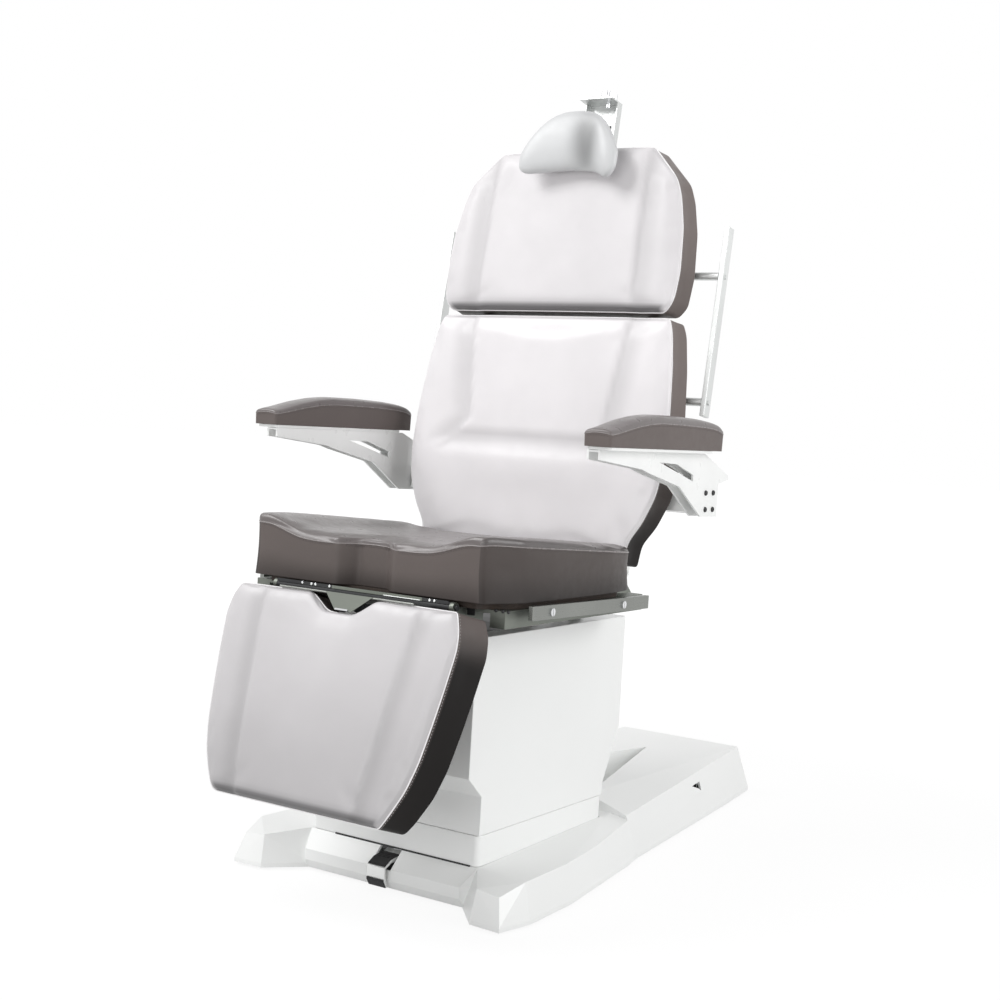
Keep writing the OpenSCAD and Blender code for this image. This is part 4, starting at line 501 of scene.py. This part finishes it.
class Pad:
    """Closed quad mesh over a box of rows, rounded at its edges, then bent to the pad's form."""

    def __init__(self, half, length, thick, edge, step, seam):
        xs = [x - half for x in rows(2 * half, edge, step)]
        ys = rows(length, edge, step)
        inner_low, inner_high = 0.004, thick - edge - seam
        low = [0, 0.0015, inner_low]
        top = [thick - edge * (1 - math.tan(math.radians(w))) for w in (0, 11.25, 22.5, 33.75)]
        count = max(2, round((inner_high - inner_low) / step))
        zs = low + [inner_low + (inner_high - inner_low) * i / count for i in range(1, count)]
        zs += [inner_high, inner_high + seam * 0.5] + top + [thick]
        self.seam_row = len(low) + count - 1
        self.index, self.raw, self.faces, self.lit = {}, [], [], []
        nx, ny, nz = len(xs) - 1, len(ys) - 1, len(zs) - 1
        self.nx, self.ny = nx, ny

        def at(i, j, k):
            key = (i, j, k)
            if key not in self.index:
                self.index[key] = len(self.raw)
                self.raw.append((xs[i], ys[j], zs[k]))
            return self.index[key]

        for i in range(nx):
            for j in range(ny):
                self.faces.append((at(i, j, nz), at(i + 1, j, nz), at(i + 1, j + 1, nz), at(i, j + 1, nz)))
                self.lit.append(True)
                self.faces.append((at(i, j, 0), at(i, j + 1, 0), at(i + 1, j + 1, 0), at(i + 1, j, 0)))
                self.lit.append(False)
        for k in range(nz):
            for j in range(ny):
                self.faces.append((at(0, j, k), at(0, j, k + 1), at(0, j + 1, k + 1), at(0, j + 1, k)))
                self.faces.append((at(nx, j, k), at(nx, j + 1, k), at(nx, j + 1, k + 1), at(nx, j, k + 1)))
                self.lit.extend([k >= self.seam_row] * 2)
            for i in range(nx):
                self.faces.append((at(i, 0, k), at(i + 1, 0, k), at(i + 1, 0, k + 1), at(i, 0, k + 1)))
                self.faces.append((at(i, ny, k), at(i, ny, k + 1), at(i + 1, ny, k + 1), at(i + 1, ny, k)))
                self.lit.extend([k >= self.seam_row] * 2)
        p = np.array(self.raw)
        centre = np.stack([np.zeros(len(p)), np.full(len(p), length / 2), np.full(len(p), -1.0)], axis=1)
        reach = np.array([half, length / 2, thick + 1.0])
        d = p - centre
        over = np.maximum(0, np.abs(d) - (reach - edge))
        size = np.linalg.norm(over, axis=1)
        pull = np.where(size > 1e-9, edge / np.maximum(size, 1e-9), 1.0)
        inner = np.clip(d, -(reach - edge), reach - edge)
        self.rounded = centre + inner + np.sign(d) * over * np.minimum(pull, 1.0)[:, None]
        self.half, self.length, self.thick = half, length, thick

    def shares(self):
        """Share along 0 to 1, share across -1 to 1, share up 0 to 1, for every point."""
        r = self.rounded
        return r[:, 1] / self.length, r[:, 0] / self.half, r[:, 2] / self.thick

    def loop(self, row):
        """Indices of the closed ring of points round the sides at one row up."""
        nx, ny = self.nx, self.ny
        keys = [(i, 0, row) for i in range(nx)] + [(nx, j, row) for j in range(ny)]
        keys += [(i, ny, row) for i in range(nx, 0, -1)] + [(0, j, row) for j in range(ny, 0, -1)]
        return [self.index[k] for k in keys]


def reach_of(foot, v):
    """Width share up a pad's side: from the foot's share to 1, drawn in between."""
    return foot + (1 - foot) * v - 0.012 * np.sin(np.pi * v)


def puff(o, held, cap):
    """Fills a pad by cloth simulation under inner pressure. Held points stay, and none moves past the cap."""
    scene = bpy.context.scene
    count = len(o.data.vertices)
    rest = np.zeros(count * 3)
    o.data.vertices.foreach_get("co", rest)
    rest = rest.reshape(-1, 3)
    group = o.vertex_groups.new(name="held")
    for weight in sorted(set(np.round(held, 2))):
        if weight > 0:
            group.add([int(i) for i in np.nonzero(np.round(held, 2) == weight)[0]], float(weight), "REPLACE")
    cloth = o.modifiers.new("Cloth", "CLOTH")
    s = cloth.settings
    s.quality = 5
    s.mass = 0.3
    s.tension_stiffness = 25
    s.compression_stiffness = 25
    s.shear_stiffness = 12
    s.bending_stiffness = 4
    s.use_pressure = True
    s.uniform_pressure_force = PRESSURE
    s.vertex_group_mass = "held"
    s.pin_stiffness = 6
    s.effector_weights.gravity = 0
    cloth.collision_settings.use_collision = False
    scene.frame_start, scene.frame_end = 1, CACHE_FRAMES
    cloth.point_cache.frame_start, cloth.point_cache.frame_end = 1, CACHE_FRAMES
    for f in range(1, FILL_FRAMES + 1):
        scene.frame_set(f)
    graph = bpy.context.evaluated_depsgraph_get()
    filled = o.evaluated_get(graph).to_mesh()
    new = np.zeros(count * 3)
    filled.vertices.foreach_get("co", new)
    new = new.reshape(-1, 3)
    o.evaluated_get(graph).to_mesh_clear()
    o.modifiers.remove(cloth)
    scene.frame_set(1)
    move = new - rest
    size = np.linalg.norm(move, axis=1)
    keep = cap * np.tanh(size / cap) / np.maximum(size, 1e-9)
    o.data.vertices.foreach_set("co", (rest + move * keep[:, None]).ravel())
    o.data.update()


def set_tone_and_painted_shade(o, tone_and_painted_shade):
    """Gives each point of a pad the brightness share that its vinyl reads: an overall level, with painted
    shade where the pad has it.
    """
    values = np.clip(tone_and_painted_shade, 0, 1).astype(np.float32)
    o.data.attributes.new("tone_and_painted_shade", "FLOAT", "POINT").data.foreach_set("value", values)


def make_pad(name, pad, points, tone_and_painted_shade, body, replaced, top, slot, cap, fill=0.9):
    """Upholstered pad with dark sides and its own top vinyl, filled, smoothed and set for its CAD solid."""
    o = piece(name, points, pad.faces, DARK, body, slot)
    o.data.materials.append(top)
    o.data.polygons.foreach_set("material_index", [1 if lit else 0 for lit in pad.lit])
    set_tone_and_painted_shade(o, tone_and_painted_shade)
    weights = np.zeros(len(points))
    weights[np.array(pad.raw)[:, 2] < HELD_FOOT] = 1.0
    weights[pad.loop(pad.seam_row)] = 1.0
    puff(o, weights, cap)
    smooth = o.modifiers.new("smooth", "SUBSURF")
    smooth.levels = 1
    smooth.render_levels = 1
    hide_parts(replaced)
    return o


def ring_path(o, pad, row):
    """Smoothed path round the sides of a pad at one row up."""
    m = o.matrix_world
    return smoothed([m @ o.data.vertices[i].co for i in pad.loop(row)], 2)


def trim(name, o, pad, body, welt_material, thread_material, slot, radius=0.0013):
    """Welt cord on the seam of a pad, and a row of stitches beside it."""
    seam = ring_path(o, pad, pad.seam_row)
    path = resample(seam, 0.006)
    middle = Vector(np.mean(path, axis=0))
    welt = tube(path, radius, 8)
    merged(name + "_welt", [welt], welt_material, body, slot)
    down = ring_path(o, pad, pad.seam_row - 1) - seam
    row = seam + down * (STITCH_DROP / np.maximum(np.linalg.norm(down, axis=1), 1e-6))[:, None]

    def outward(p):
        return (p - middle).normalized()

    parts = stitches(row, 0.0032, 0.0022, 0.00035, outward)
    merged(name + "_stitches", parts, thread_material, body, slot)


# Seat: dished between side bolsters, with a notch in its front
SEAT_L, SEAT_HALF, SEAT_Z = 0.484, 0.290, 0.558
SEAT_FRONT, SEAT_FRONT_H, SEAT_REAR_H = -0.378, 0.118, 0.083
SEAT_DISH_D, SEAT_NOTCH_D, SEAT_NOTCH_OUT, SEAT_NOTCH_IN = 0.029, 0.028, 0.108, 0.056
SEAT_SHRINK = 0.003
SEAT_WIDTHS = [[0, 0.875], [0.05, 0.91], [0.16, 0.985], [0.35, 1], [0.8, 1], [0.93, 0.97], [1, 0.93]]
SEAT_DISH = [
    [0, 0.92], [0.25, 1], [0.45, 1], [0.58, 0.92], [0.67, 0.72], [0.76, 0.42], [0.85, 0.15],
    [0.93, 0], [1, 0.12],
]


def seat_points(pad):
    t, a, v = pad.shares()
    half = SEAT_HALF * smooth_lookup(t, SEAT_WIDTHS) - (1 - end_rise(t)) * 0.005 - SEAT_SHRINK
    dish = SEAT_DISH_D * (1 - 0.72 * t) * smooth_lookup(np.abs(a), SEAT_DISH, 0.05)
    top = SEAT_FRONT_H + (SEAT_REAR_H - SEAT_FRONT_H) * t - dish
    top = top * (0.95 + 0.05 * end_rise(t)) - SEAT_SHRINK
    x = half * reach_of(1.01, v) * a
    across = notch(x, 2 * SEAT_HALF * SEAT_NOTCH_OUT, 2 * SEAT_HALF * SEAT_NOTCH_IN)
    cut = SEAT_NOTCH_D * across * np.clip(1 - t / 0.2, 0, 1)
    y = SEAT_FRONT + SEAT_SHRINK * 0.5 + t * (SEAT_L - SEAT_SHRINK) + cut
    return transform(LEVEL, np.stack([x, y, SEAT_Z + 0.0003 + top * v], axis=1))


def seat_painted_shade(pad):
    """Painted shade over the seat's overall share of 0.66: darker low down, and on the two sides."""
    t, a, v = pad.shares()
    low = 1 - 0.45 * (1 - soft_step(v / 0.5))
    side = 1 - 0.55 * (np.abs(a) > 0.985) * (1 - 0.4 * soft_step(v))
    return 0.66 * low * side


seat = Pad(SEAT_HALF, SEAT_L, 0.1, 0.007, 0.0085, 0.004)
seat_o = make_pad(
    "seat_pad", seat, seat_points(seat), seat_painted_shade(seat), "seat", "seat_cushion",
    SHEEN, "upholstery_dark", 0.004,
)
trim("seat_pad", seat_o, seat, "seat", PIPING_DARK, THREAD_DARK, "upholstery_dark")

# Leg section
LEG_L, LEG_HALF, LEG_START, LEG_FOOT = 0.370, 0.277, 0.013, 1.13
LEG_NOTCH_D, LEG_NOTCH_OUT, LEG_NOTCH_IN = 0.030, 0.13, 0.055
LEG_WIDTHS = [
    [0, 0.843], [0.08, 0.888], [0.17, 0.904], [0.36, 0.881], [0.52, 0.856], [0.69, 0.824], [0.82, 0.778],
    [0.95, 0.696], [1, 0.65],
]
# Leg section and back cushions: thickness, corner radius, cord allowance, and the room left for filling
PAD_T, PAD_EDGE, PAD_STEP, PAD_SEAM = 0.066, 0.007, 0.0085, 0.002
PAD_SHRINK, PAD_CAP = 0.002, 0.003
SIDE_BELOW = 0.0095


def channel(d, width):
    """Depth share of a sewn channel, by the distance past its inner edge: a quick fall, then a long rise."""
    return soft_step(d / 0.009) * (1 - soft_step((d - width * 0.35) / (width * 0.75)))


def panel_painted_shade(pad, depth, low_edge):
    """Painted shade of a light panel: darker in its channels and along the roll at its lower edge."""
    t, a, v = pad.shares()
    from_low = (t if low_edge == 0 else 1 - t) * pad.length
    roll = 0.82 * (1 - soft_step((from_low - 0.002) / 0.017)) * soft_step((0.97 - np.abs(a)) / 0.05 + 0.6)
    return (1 - 0.16 * depth) * (1 - roll)


def leg_channel(t, x):
    return channel(np.abs(x) - (0.163 - 0.040 * t), 0.045) * soft_step(t / 0.03)


def leg_form(pad):
    """Points and painted shade of the leg section's cushion, whose sides flare towards its board."""
    t, a, v = pad.shares()
    half = LEG_HALF * smooth_lookup(t, LEG_WIDTHS) - PAD_SHRINK
    hollow = leg_channel(t, half * a)
    relief = 0.007 * (1 - np.abs(a) ** 3) * (0.4 + 0.6 * np.sin(np.pi * t)) - 0.0045 * hollow
    face = (PAD_T - 0.007 + relief) * (0.86 + 0.14 * end_rise(t)) - PAD_SHRINK
    x = half * reach_of(LEG_FOOT, v) * a
    across = notch(x, 2 * LEG_HALF * LEG_NOTCH_OUT, 2 * LEG_HALF * LEG_NOTCH_IN)
    cut = LEG_NOTCH_D * across * np.clip(1 - t / 0.25, 0, 1)
    s = LEG_START + PAD_SHRINK * 0.5 + t * (LEG_L - PAD_SHRINK) + cut
    points = transform(LEG, np.stack([x, 0.001 - face * v, -s], axis=1))
    # Painted shade: the panel darkens in its channels, along its lower roll and towards its lower end; the
    # sides fall to near black below the top
    panel = panel_painted_shade(pad, hollow, 1) * (0.69 - 0.18 * soft_step((t - 0.15) / 0.85))
    side = 0.62 - 0.615 * soft_step((t - 0.03) / 0.22)
    return points, np.where(v * PAD_T > PAD_T - SIDE_BELOW, panel, side)


leg = Pad(LEG_HALF, LEG_L, PAD_T, PAD_EDGE, PAD_STEP, PAD_SEAM)
leg_o = make_pad(
    "leg_pad", leg, *leg_form(leg), "legrest", "legrest_cushion", LIGHT, "upholstery_light", PAD_CAP
)
trim("leg_pad", leg_o, leg, "legrest", PIPING, THREAD, "upholstery_light")

# Back
BACK_FOOT = 1.03
LOWER_S, LOWER_L, LOWER_HALF = 0.014, 0.490, 0.301
UPPER_S, UPPER_L, UPPER_HALF = 0.513, 0.340, 0.278
RELIEF = 0.008
LOWER_WIDTHS = [
    [0, 0.80], [0.09, 0.815], [0.165, 0.897], [0.28, 0.973], [0.41, 1], [0.6, 0.995], [0.8, 0.963],
    [0.95, 0.925], [1, 0.89],
]
UPPER_WIDTHS = [[0, 0.92], [0.06, 0.98], [0.24, 1], [0.5, 0.978], [0.69, 0.93], [0.8, 0.88], [1, 0.655]]


def lower_channel(t, x):
    """Side channels that run down to the lumbar crease, and turn out along it."""
    s = LOWER_S + 0.486 * t
    turn = 0.062 * np.clip((0.279 - s) / 0.065, 0, 1)
    inner = 0.152 + 0.023 * np.clip((s - 0.29) / 0.18, 0, 1) + turn
    sides = channel(np.abs(x) - inner, 0.062) * soft_step((s - 0.214) / 0.03)
    lumbar = soft_step((0.262 - s) / 0.016) * (1 - soft_step((0.236 - s) / 0.036))
    reach = 1 - soft_step((np.abs(x) - (0.150 + turn)) / 0.03)
    return np.maximum(sides, lumbar * reach)


def upper_channel(t, x):
    return channel(np.abs(x) - (0.176 - 0.004 * t), 0.058)


def lower_relief(t, a):
    return RELIEF * (
        0.35 * (1 - np.abs(a) ** 3)
        + 0.75 * bell(np.abs(a) - 0.86, 0.16) * np.sin(np.pi * np.minimum(1, t * 1.1))
        + 0.9 * bell(t - 0.36, 0.11) * bell(a, 0.6)
    )


def upper_relief(t, a):
    return RELIEF * (0.7 * (1 - np.abs(a) ** 3) + 0.3 * bell(np.abs(a) - 0.8, 0.15))


def back_cushion(word, start, length, half, widths, relief, channels, low_painted_shade, panel_share):
    """One cushion of the back with its trim, and painted shade: its sides darken towards its lower end to the
    given low share, and its panel takes the given brightness share.
    """
    pad = Pad(half, length, PAD_T, PAD_EDGE, PAD_STEP, PAD_SEAM)
    t, a, v = pad.shares()
    w = half * smooth_lookup(t, widths) - PAD_SHRINK
    hollow = channels(t, w * a)
    rise = 0.86 + 0.14 * end_rise(t)
    face = (PAD_T - 0.0064 + relief(t, a) - 0.005 * hollow) * rise - PAD_SHRINK
    x = w * reach_of(BACK_FOOT, v) * a
    s = start + PAD_SHRINK * 0.5 + t * (length - PAD_SHRINK)
    points = transform(BACK, np.stack([x, 0.010 - face * v, s], axis=1))
    panel = panel_painted_shade(pad, hollow, 0) * panel_share
    side = low_painted_shade + (1 - low_painted_shade) * soft_step((t - 0.1) / 0.45)
    tone_and_painted_shade = np.where(v * PAD_T > PAD_T - SIDE_BELOW, panel, side)
    name = word + "_back_pad"
    o = make_pad(name, pad, points, tone_and_painted_shade, "back", word + "_back_cushion", LIGHT, "upholstery_light", PAD_CAP)
    trim(name, o, pad, "back", PIPING, THREAD, "upholstery_light")


# Painted shade: the lower cushion's sides fall to near black at its bottom, and the upper cushion's panel is
# kept darker
back_cushion("lower", LOWER_S, LOWER_L, LOWER_HALF, LOWER_WIDTHS, lower_relief, lower_channel, 0.03, 0.97)
back_cushion("upper", UPPER_S, UPPER_L, UPPER_HALF, UPPER_WIDTHS, upper_relief, upper_channel, 0.75, 0.86)

# Arm rests
ARM_L, ARM_HALF, ARM_X, ARM_Z, ARM_FRONT, ARM_SHRINK = 0.446, 0.029, 0.370, 0.8303, -0.236, 0.002
ARM_TONE = 0.72
ARM_TOPS = [
    [0, 33], [0.05, 36], [0.19, 50], [0.3, 58], [0.4, 62], [0.6, 62], [0.8, 60], [0.9, 57],
    [0.96, 53], [1, 46],
]


def arm_points(pad, side):
    t, a, v = pad.shares()
    half = ARM_HALF * (0.95 + 0.05 * end_rise(t)) - ARM_SHRINK * 0.5
    top = smooth_lookup(t, ARM_TOPS) / 1000 - 0.006 * np.abs(a) ** 4
    x = side * (ARM_X + half * (0.96 + 0.04 * v) * a)
    z = ARM_Z + (top * (0.93 + 0.07 * end_rise(t)) - ARM_SHRINK) * v
    y = ARM_FRONT + ARM_SHRINK * 0.5 + t * (ARM_L - ARM_SHRINK)
    return transform(LEVEL, np.stack([x, y, z], axis=1))


for side, word in ((1, "left"), (-1, "right")):
    name, body = "arm_rest_" + word, "arm_" + word
    arm = Pad(ARM_HALF, ARM_L, 0.05, 0.005, 0.007, 0.003)
    arm_o = make_pad(
        name, arm, arm_points(arm, side), np.full(len(arm.raw), ARM_TONE), body, "arm_pad_" + word,
        SHEEN, "upholstery_dark", 0.003, 0.95,
    )
    trim(name, arm_o, arm, body, PIPING_DARK, THREAD_DARK, "upholstery_dark", 0.001)

# Headrest
HEAD_W, HEAD_H, HEAD_T, HEAD_X = 0.228, 0.130, 0.044, 0.018
HEAD_TOP, HEAD_MID_Y, HEAD_REACH = 0.918, -0.083, 0.020


def headrest():
    """Two soft lobes with a valley between them, swept from wing to wing."""
    steps, sides = 72, 56
    points, faces, tone_and_painted_shade = [], [], []
    for i in range(steps + 1):
        u = -math.cos(math.pi * i / steps)
        b = abs(u)
        taper = math.sqrt(max(0.0004, 1 - b ** (2.8 if u < 0 else 4.2)))
        mid_y = HEAD_MID_Y - HEAD_REACH * b**2.2 * (1 - 0.25 * b**6)
        low = HEAD_TOP - HEAD_H + HEAD_H * 0.05 * (1 - b) - HEAD_H * 0.2 * b**3 + HEAD_H * 0.2 * b**12
        low -= 0.012 * math.exp(-(((u - 0.84) / 0.2) ** 2))
        high = HEAD_TOP - HEAD_H * 0.6 * b**2.6
        tall = max(0.004, (high - low) / 2) * (0.4 + 0.6 * taper)
        valley = math.exp(-(((u - 0.34) / 0.24) ** 2))
        for k in range(sides):
            w = 2 * math.pi * k / sides
            c, s = math.cos(w), math.sin(w)
            c = math.copysign(abs(c) ** 0.86, c)
            s = math.copysign(abs(s) ** 0.92, s)
            front = max(0.0, -c)
            sink = 0.013 * valley * front * (0.75 - 0.45 * s)
            y = mid_y + HEAD_T / 2 * taper * c + sink
            points.append((HEAD_X + HEAD_W / 2 * u, y, (low + high) / 2 + tall * s))
            # Painted shade: darker in the valley on the front and along the underside
            tone_and_painted_shade.append(0.97 - 0.74 * valley * front * (0.78 - 0.22 * s) - 0.2 * max(0.0, -s - 0.6))
    for i in range(steps):
        for k in range(sides):
            m = (k + 1) % sides
            faces.append((i * sides + k, i * sides + m, (i + 1) * sides + m, (i + 1) * sides + k))
    faces.append(list(range(sides))[::-1])
    faces.append([steps * sides + k for k in range(sides)])
    return transform(BACK, points), faces, tone_and_painted_shade


head_points, head_faces, head_painted_shade = headrest()
head_o = piece("headrest_pad", head_points, head_faces, GREY, "headrest", "headrest_grey")
set_tone_and_painted_shade(head_o, head_painted_shade)
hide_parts("headrest_cushion")

# Small pieces
def screw(centre, direction, radius, height, socket=True):
    """Pan head screw, with a round recess in its head or without."""
    profile = [(0, -0.001), (radius, -0.001), (radius, height * 0.45), (radius * 0.86, height * 0.85)]
    profile.append((radius * 0.6, height))
    if socket:
        profile += [(radius * 0.42, height), (radius * 0.4, height * 0.35), (0, height * 0.3)]
    else:
        profile.append((0, height))
    return lathe(centre, direction, profile, 18)


def at(m, x, y, z):
    """A place in one of the frames."""
    return Vector(transform(m, [(x, y, z)])[0])


for side, word in ((1, "left"), (-1, "right")):
    parts = [
        screw(at(LEVEL, side * 0.372, y, z), (side, 0, 0), 0.0052, 0.0032)
        for y, z in ((0.1965, 0.749), (0.2295, 0.749), (0.198, 0.717), (0.2305, 0.717))
    ]
    merged("arm_screws_" + word, parts, BLACK, "arm_" + word, "connector_black")


def bar(x, y, z, m=LEVEL, cut=0.0006):
    """Flat bar with chamfered edges between two corners, as points and faces."""
    points = []
    for depth in y:
        for u, v in ((0, 0), (1, 0), (1, 1), (0, 1)):
            points.append((x[u] + (cut if u == 0 else -cut), depth, z[v]))
            points.append((x[u], depth, z[v] + (cut if v == 0 else -cut)))
    near = [0, 2, 3, 5, 4, 6, 7, 1]
    far = [i + 8 for i in near]
    faces = [near[::-1], far] + [[near[i], near[(i + 1) % 8], far[(i + 1) % 8], far[i]] for i in range(8)]
    return transform(m, points), faces


# Black strip between the seat cushion and the leg section: painted shadow in the gap under the seat front. In
# front of it a steel plate with a painted highlight on its lower edge, and its screws
strip = bar((-0.1885, 0.1885), (-0.3842, -0.3834), (0.5515, 0.5572))
piece("front_shadow_strip", *strip, FRAME_BLACK, "seat", "frame_steel", False)
plate = bar((-0.062, 0.134), (-0.3846, -0.3841), (0.5516, 0.5571))
piece("front_plate", *plate, SEAT_STEEL, "seat", "stainless", False)
FORWARD = (0, -1, 0)
# Thin chrome bar along the plate's lower edge: a painted highlight
parts = [bar((0.052, 0.130), (-0.3849, -0.3845), (0.5517, 0.5532))]
for x in (-0.130, -0.109, -0.100, -0.068, 0.150, 0.160):
    parts.append(screw(at(LEVEL, x, -0.3844, 0.5545), FORWARD, 0.0024, 0.0005, False))
merged("front_screws", parts, CHROME, "seat", "stainless", False)
# Black pads and screws on the front bar of the seat frame
parts = [bar((0.199, 0.214), (-0.3415, -0.3397), (0.5325, 0.5495))]
parts += [screw(at(LEVEL, x, -0.3402, 0.546), FORWARD, 0.003, 0.002, False) for x in (0.256, 0.270, 0.281)]
merged("frame_bumpers", parts, BLACK, "seat", "connector_black", False)
# Tongue of the leg section's plate that fills the notch, and its lip in chrome: a painted highlight on the
# folded edge
outline = [(-0.0405, -0.0102), (-0.0125, -0.0402), (0.024, -0.0402), (0.062, -0.0102)]
points = transform(LEG, [(x, y, z) for y in (-0.0503, -0.0512) for x, z in outline])
faces = [(3, 2, 1, 0), (4, 5, 6, 7)] + [(i, (i + 1) % 4, (i + 1) % 4 + 4, i + 4) for i in range(4)]
piece("notch_tongue", points, faces, SEAT_STEEL, "legrest", "stainless", False)
lip = bar((-0.011, 0.017), (-0.0535, -0.0511), (-0.0402, -0.0372), LEG)
piece("notch_highlight_lip", *lip, CHROME, "legrest", "stainless", False)


# Brake pedal: black rubber on its top and on its toe, either side of its bright front, as painted shade on
# these faces; the top carries three ribs
def strap(profile, thick, x):
    """Strip of even thickness that follows a profile of (y, z) points, between two places across."""
    count = len(profile)
    out = []
    for i in range(count):
        y0, z0 = profile[max(i - 1, 0)]
        y1, z1 = profile[min(i + 1, count - 1)]
        length = math.hypot(y1 - y0, z1 - z0)
        out.append((profile[i][0] + (z1 - z0) / length * thick, profile[i][1] - (y1 - y0) / length * thick))
    ring = list(profile) + out[::-1]
    size = len(ring)
    points = [(px, y, z) for px in x for y, z in ring]
    faces = [list(range(size))[::-1], list(range(size, 2 * size))]
    faces += [[i, (i + 1) % size, (i + 1) % size + size, i + size] for i in range(size)]
    return transform(LEVEL, points), faces


SHADED_X = (-0.0192, 0.0192)
shaded_top = [(-0.2470, 0.0622), (-0.2520, 0.0612), (-0.2730, 0.0582), (-0.2900, 0.0489)]
toe = [(-0.2916, 0.0250), (-0.2911, 0.0205), (-0.2838, 0.0098)]
parts = [strap(shaded_top, 0.0012, SHADED_X), strap(toe, 0.0014, SHADED_X)]
for y, z in ((-0.257, 0.0616), (-0.263, 0.0608), (-0.269, 0.0600)):
    parts.append(bar((-0.0165, 0.0165), (y - 0.0007, y + 0.0007), (z, z + 0.0010)))
merged("pedal_shade_rubber", parts, RUBBER, "pedal", "rubber_black", False)
# Black strip along the foot of the collar's front: painted shadow in the gap there
gap = bar((-0.132, 0.1735), (-0.2474, -0.2457), (0.0722, 0.0752))
piece("collar_shadow_strip", *gap, BLACK, "base", "connector_black", False)

soften("base_cover rear_cover", 0.004, 3, 9)
soften("upper_shroud pedestal_collar inner_shroud", 0.005, 4, 20)
soften("arm_plate_left arm_plate_right arm_bracket_left arm_bracket_right side_rails grab_rails", 0.0012, 3)
soften("seat_frame legrest_frame back_frame headrest_bracket", 0.0008, 2)
soften("legrest_v_plate brake_pedal headrest_knob", 0.0008, 2)

# Stage, lights and camera
WHITE = (1, 1, 1, 1)
FLOOR_HALF, FLOOR_Z = 30, -0.0005
floor_mesh = bpy.data.meshes.new("floor")
corners = [(x * FLOOR_HALF, y * FLOOR_HALF, FLOOR_Z) for x, y in ((-1, -1), (1, -1), (1, 1), (-1, 1))]
floor_mesh.from_pydata(corners, [], [(0, 1, 2, 3)])
floor = bpy.data.objects.new("floor", floor_mesh)
bpy.context.scene.collection.objects.link(floor)
t = new_material("floor")
cast = t.add("ShaderNodeBsdfDiffuse", {"Color": (0.7, 0.7, 0.7, 1)})
pale = t.add("ShaderNodeEmission", {"Color": WHITE, "Strength": 1.08})
away = t.add("ShaderNodeVectorMath", {0: t.coords()}, operation="LENGTH").outputs["Value"]
glow = t.add(
    "ShaderNodeMapRange", {"Value": away, "From Min": 1.2, "From Max": 3.6, "To Min": 0.84, "To Max": 1.0}
).outputs[0]
seen = t.add("ShaderNodeMath", {0: t.backdrop_rays(), 1: glow}, operation="MULTIPLY").outputs[0]
mixed = t.add("ShaderNodeMixShader", {0: seen, 1: cast.outputs[0], 2: pale.outputs[0]})
t.add("ShaderNodeOutputMaterial", {"Surface": mixed.outputs[0]})
floor_mesh.materials.append(t.owner)

sky = Tree(bpy.data.worlds.new("studio"))
bpy.context.scene.world = sky.owner
fill = sky.add("ShaderNodeBackground", {"Color": WHITE, "Strength": 0.5})
backdrop = sky.add("ShaderNodeBackground", {"Color": WHITE, "Strength": 1.0})
mixed = sky.add("ShaderNodeMixShader", {0: sky.backdrop_rays(), 1: fill.outputs[0], 2: backdrop.outputs[0]})
sky.add("ShaderNodeOutputWorld", {"Surface": mixed.outputs[0]})


def area(name, place, target, size, power):
    """Rectangular lamp at a place, turned to a target."""
    data = bpy.data.lights.new(name, "AREA")
    data.shape = "RECTANGLE"
    data.size, data.size_y = size
    data.energy = power
    o = bpy.data.objects.new(name, data)
    bpy.context.scene.collection.objects.link(o)
    o.location = place
    o.rotation_euler = (Vector(target) - Vector(place)).to_track_quat("-Z", "Y").to_euler()


area("key", (-2.2, -2.4, 3.8), (0, 0, 0.7), (2.2, 2.2), 100)
area("front", (0.3, -4.4, 1.1), (0, 0, 0.4), (2.8, 1.8), 38)
area("side", (3.8, 0.2, 1.9), (0, 0, 0.6), (2.2, 2.4), 62)

bpy.context.scene.view_settings.view_transform = "Standard"

EYE = (1.6614, -2.74174, 0.8655)
yaw, down, roll = math.radians(32.87), math.radians(3.03), math.radians(3.43)
ahead = Vector((-math.sin(yaw) * math.cos(down), math.cos(yaw) * math.cos(down), -math.sin(down)))
level_right = Vector((math.cos(yaw), math.sin(yaw), 0))
level_up = level_right.cross(ahead)
right = level_right * math.cos(roll) + level_up * math.sin(roll)
up = -level_right * math.sin(roll) + level_up * math.cos(roll)
camera_data = bpy.data.cameras.new("camera")
camera = bpy.data.objects.new("camera", camera_data)
bpy.context.scene.collection.objects.link(camera)
turn = Matrix((right, up, -ahead)).transposed().to_4x4()
camera.matrix_world = Matrix.Translation(EYE) @ turn
camera_data.sensor_width = 36
camera_data.lens = 56.09
camera_data.shift_x = 0.0016
camera_data.shift_y = 0.0023
camera_data.clip_start = 0.05
camera_data.clip_end = 100
bpy.context.scene.camera = camera
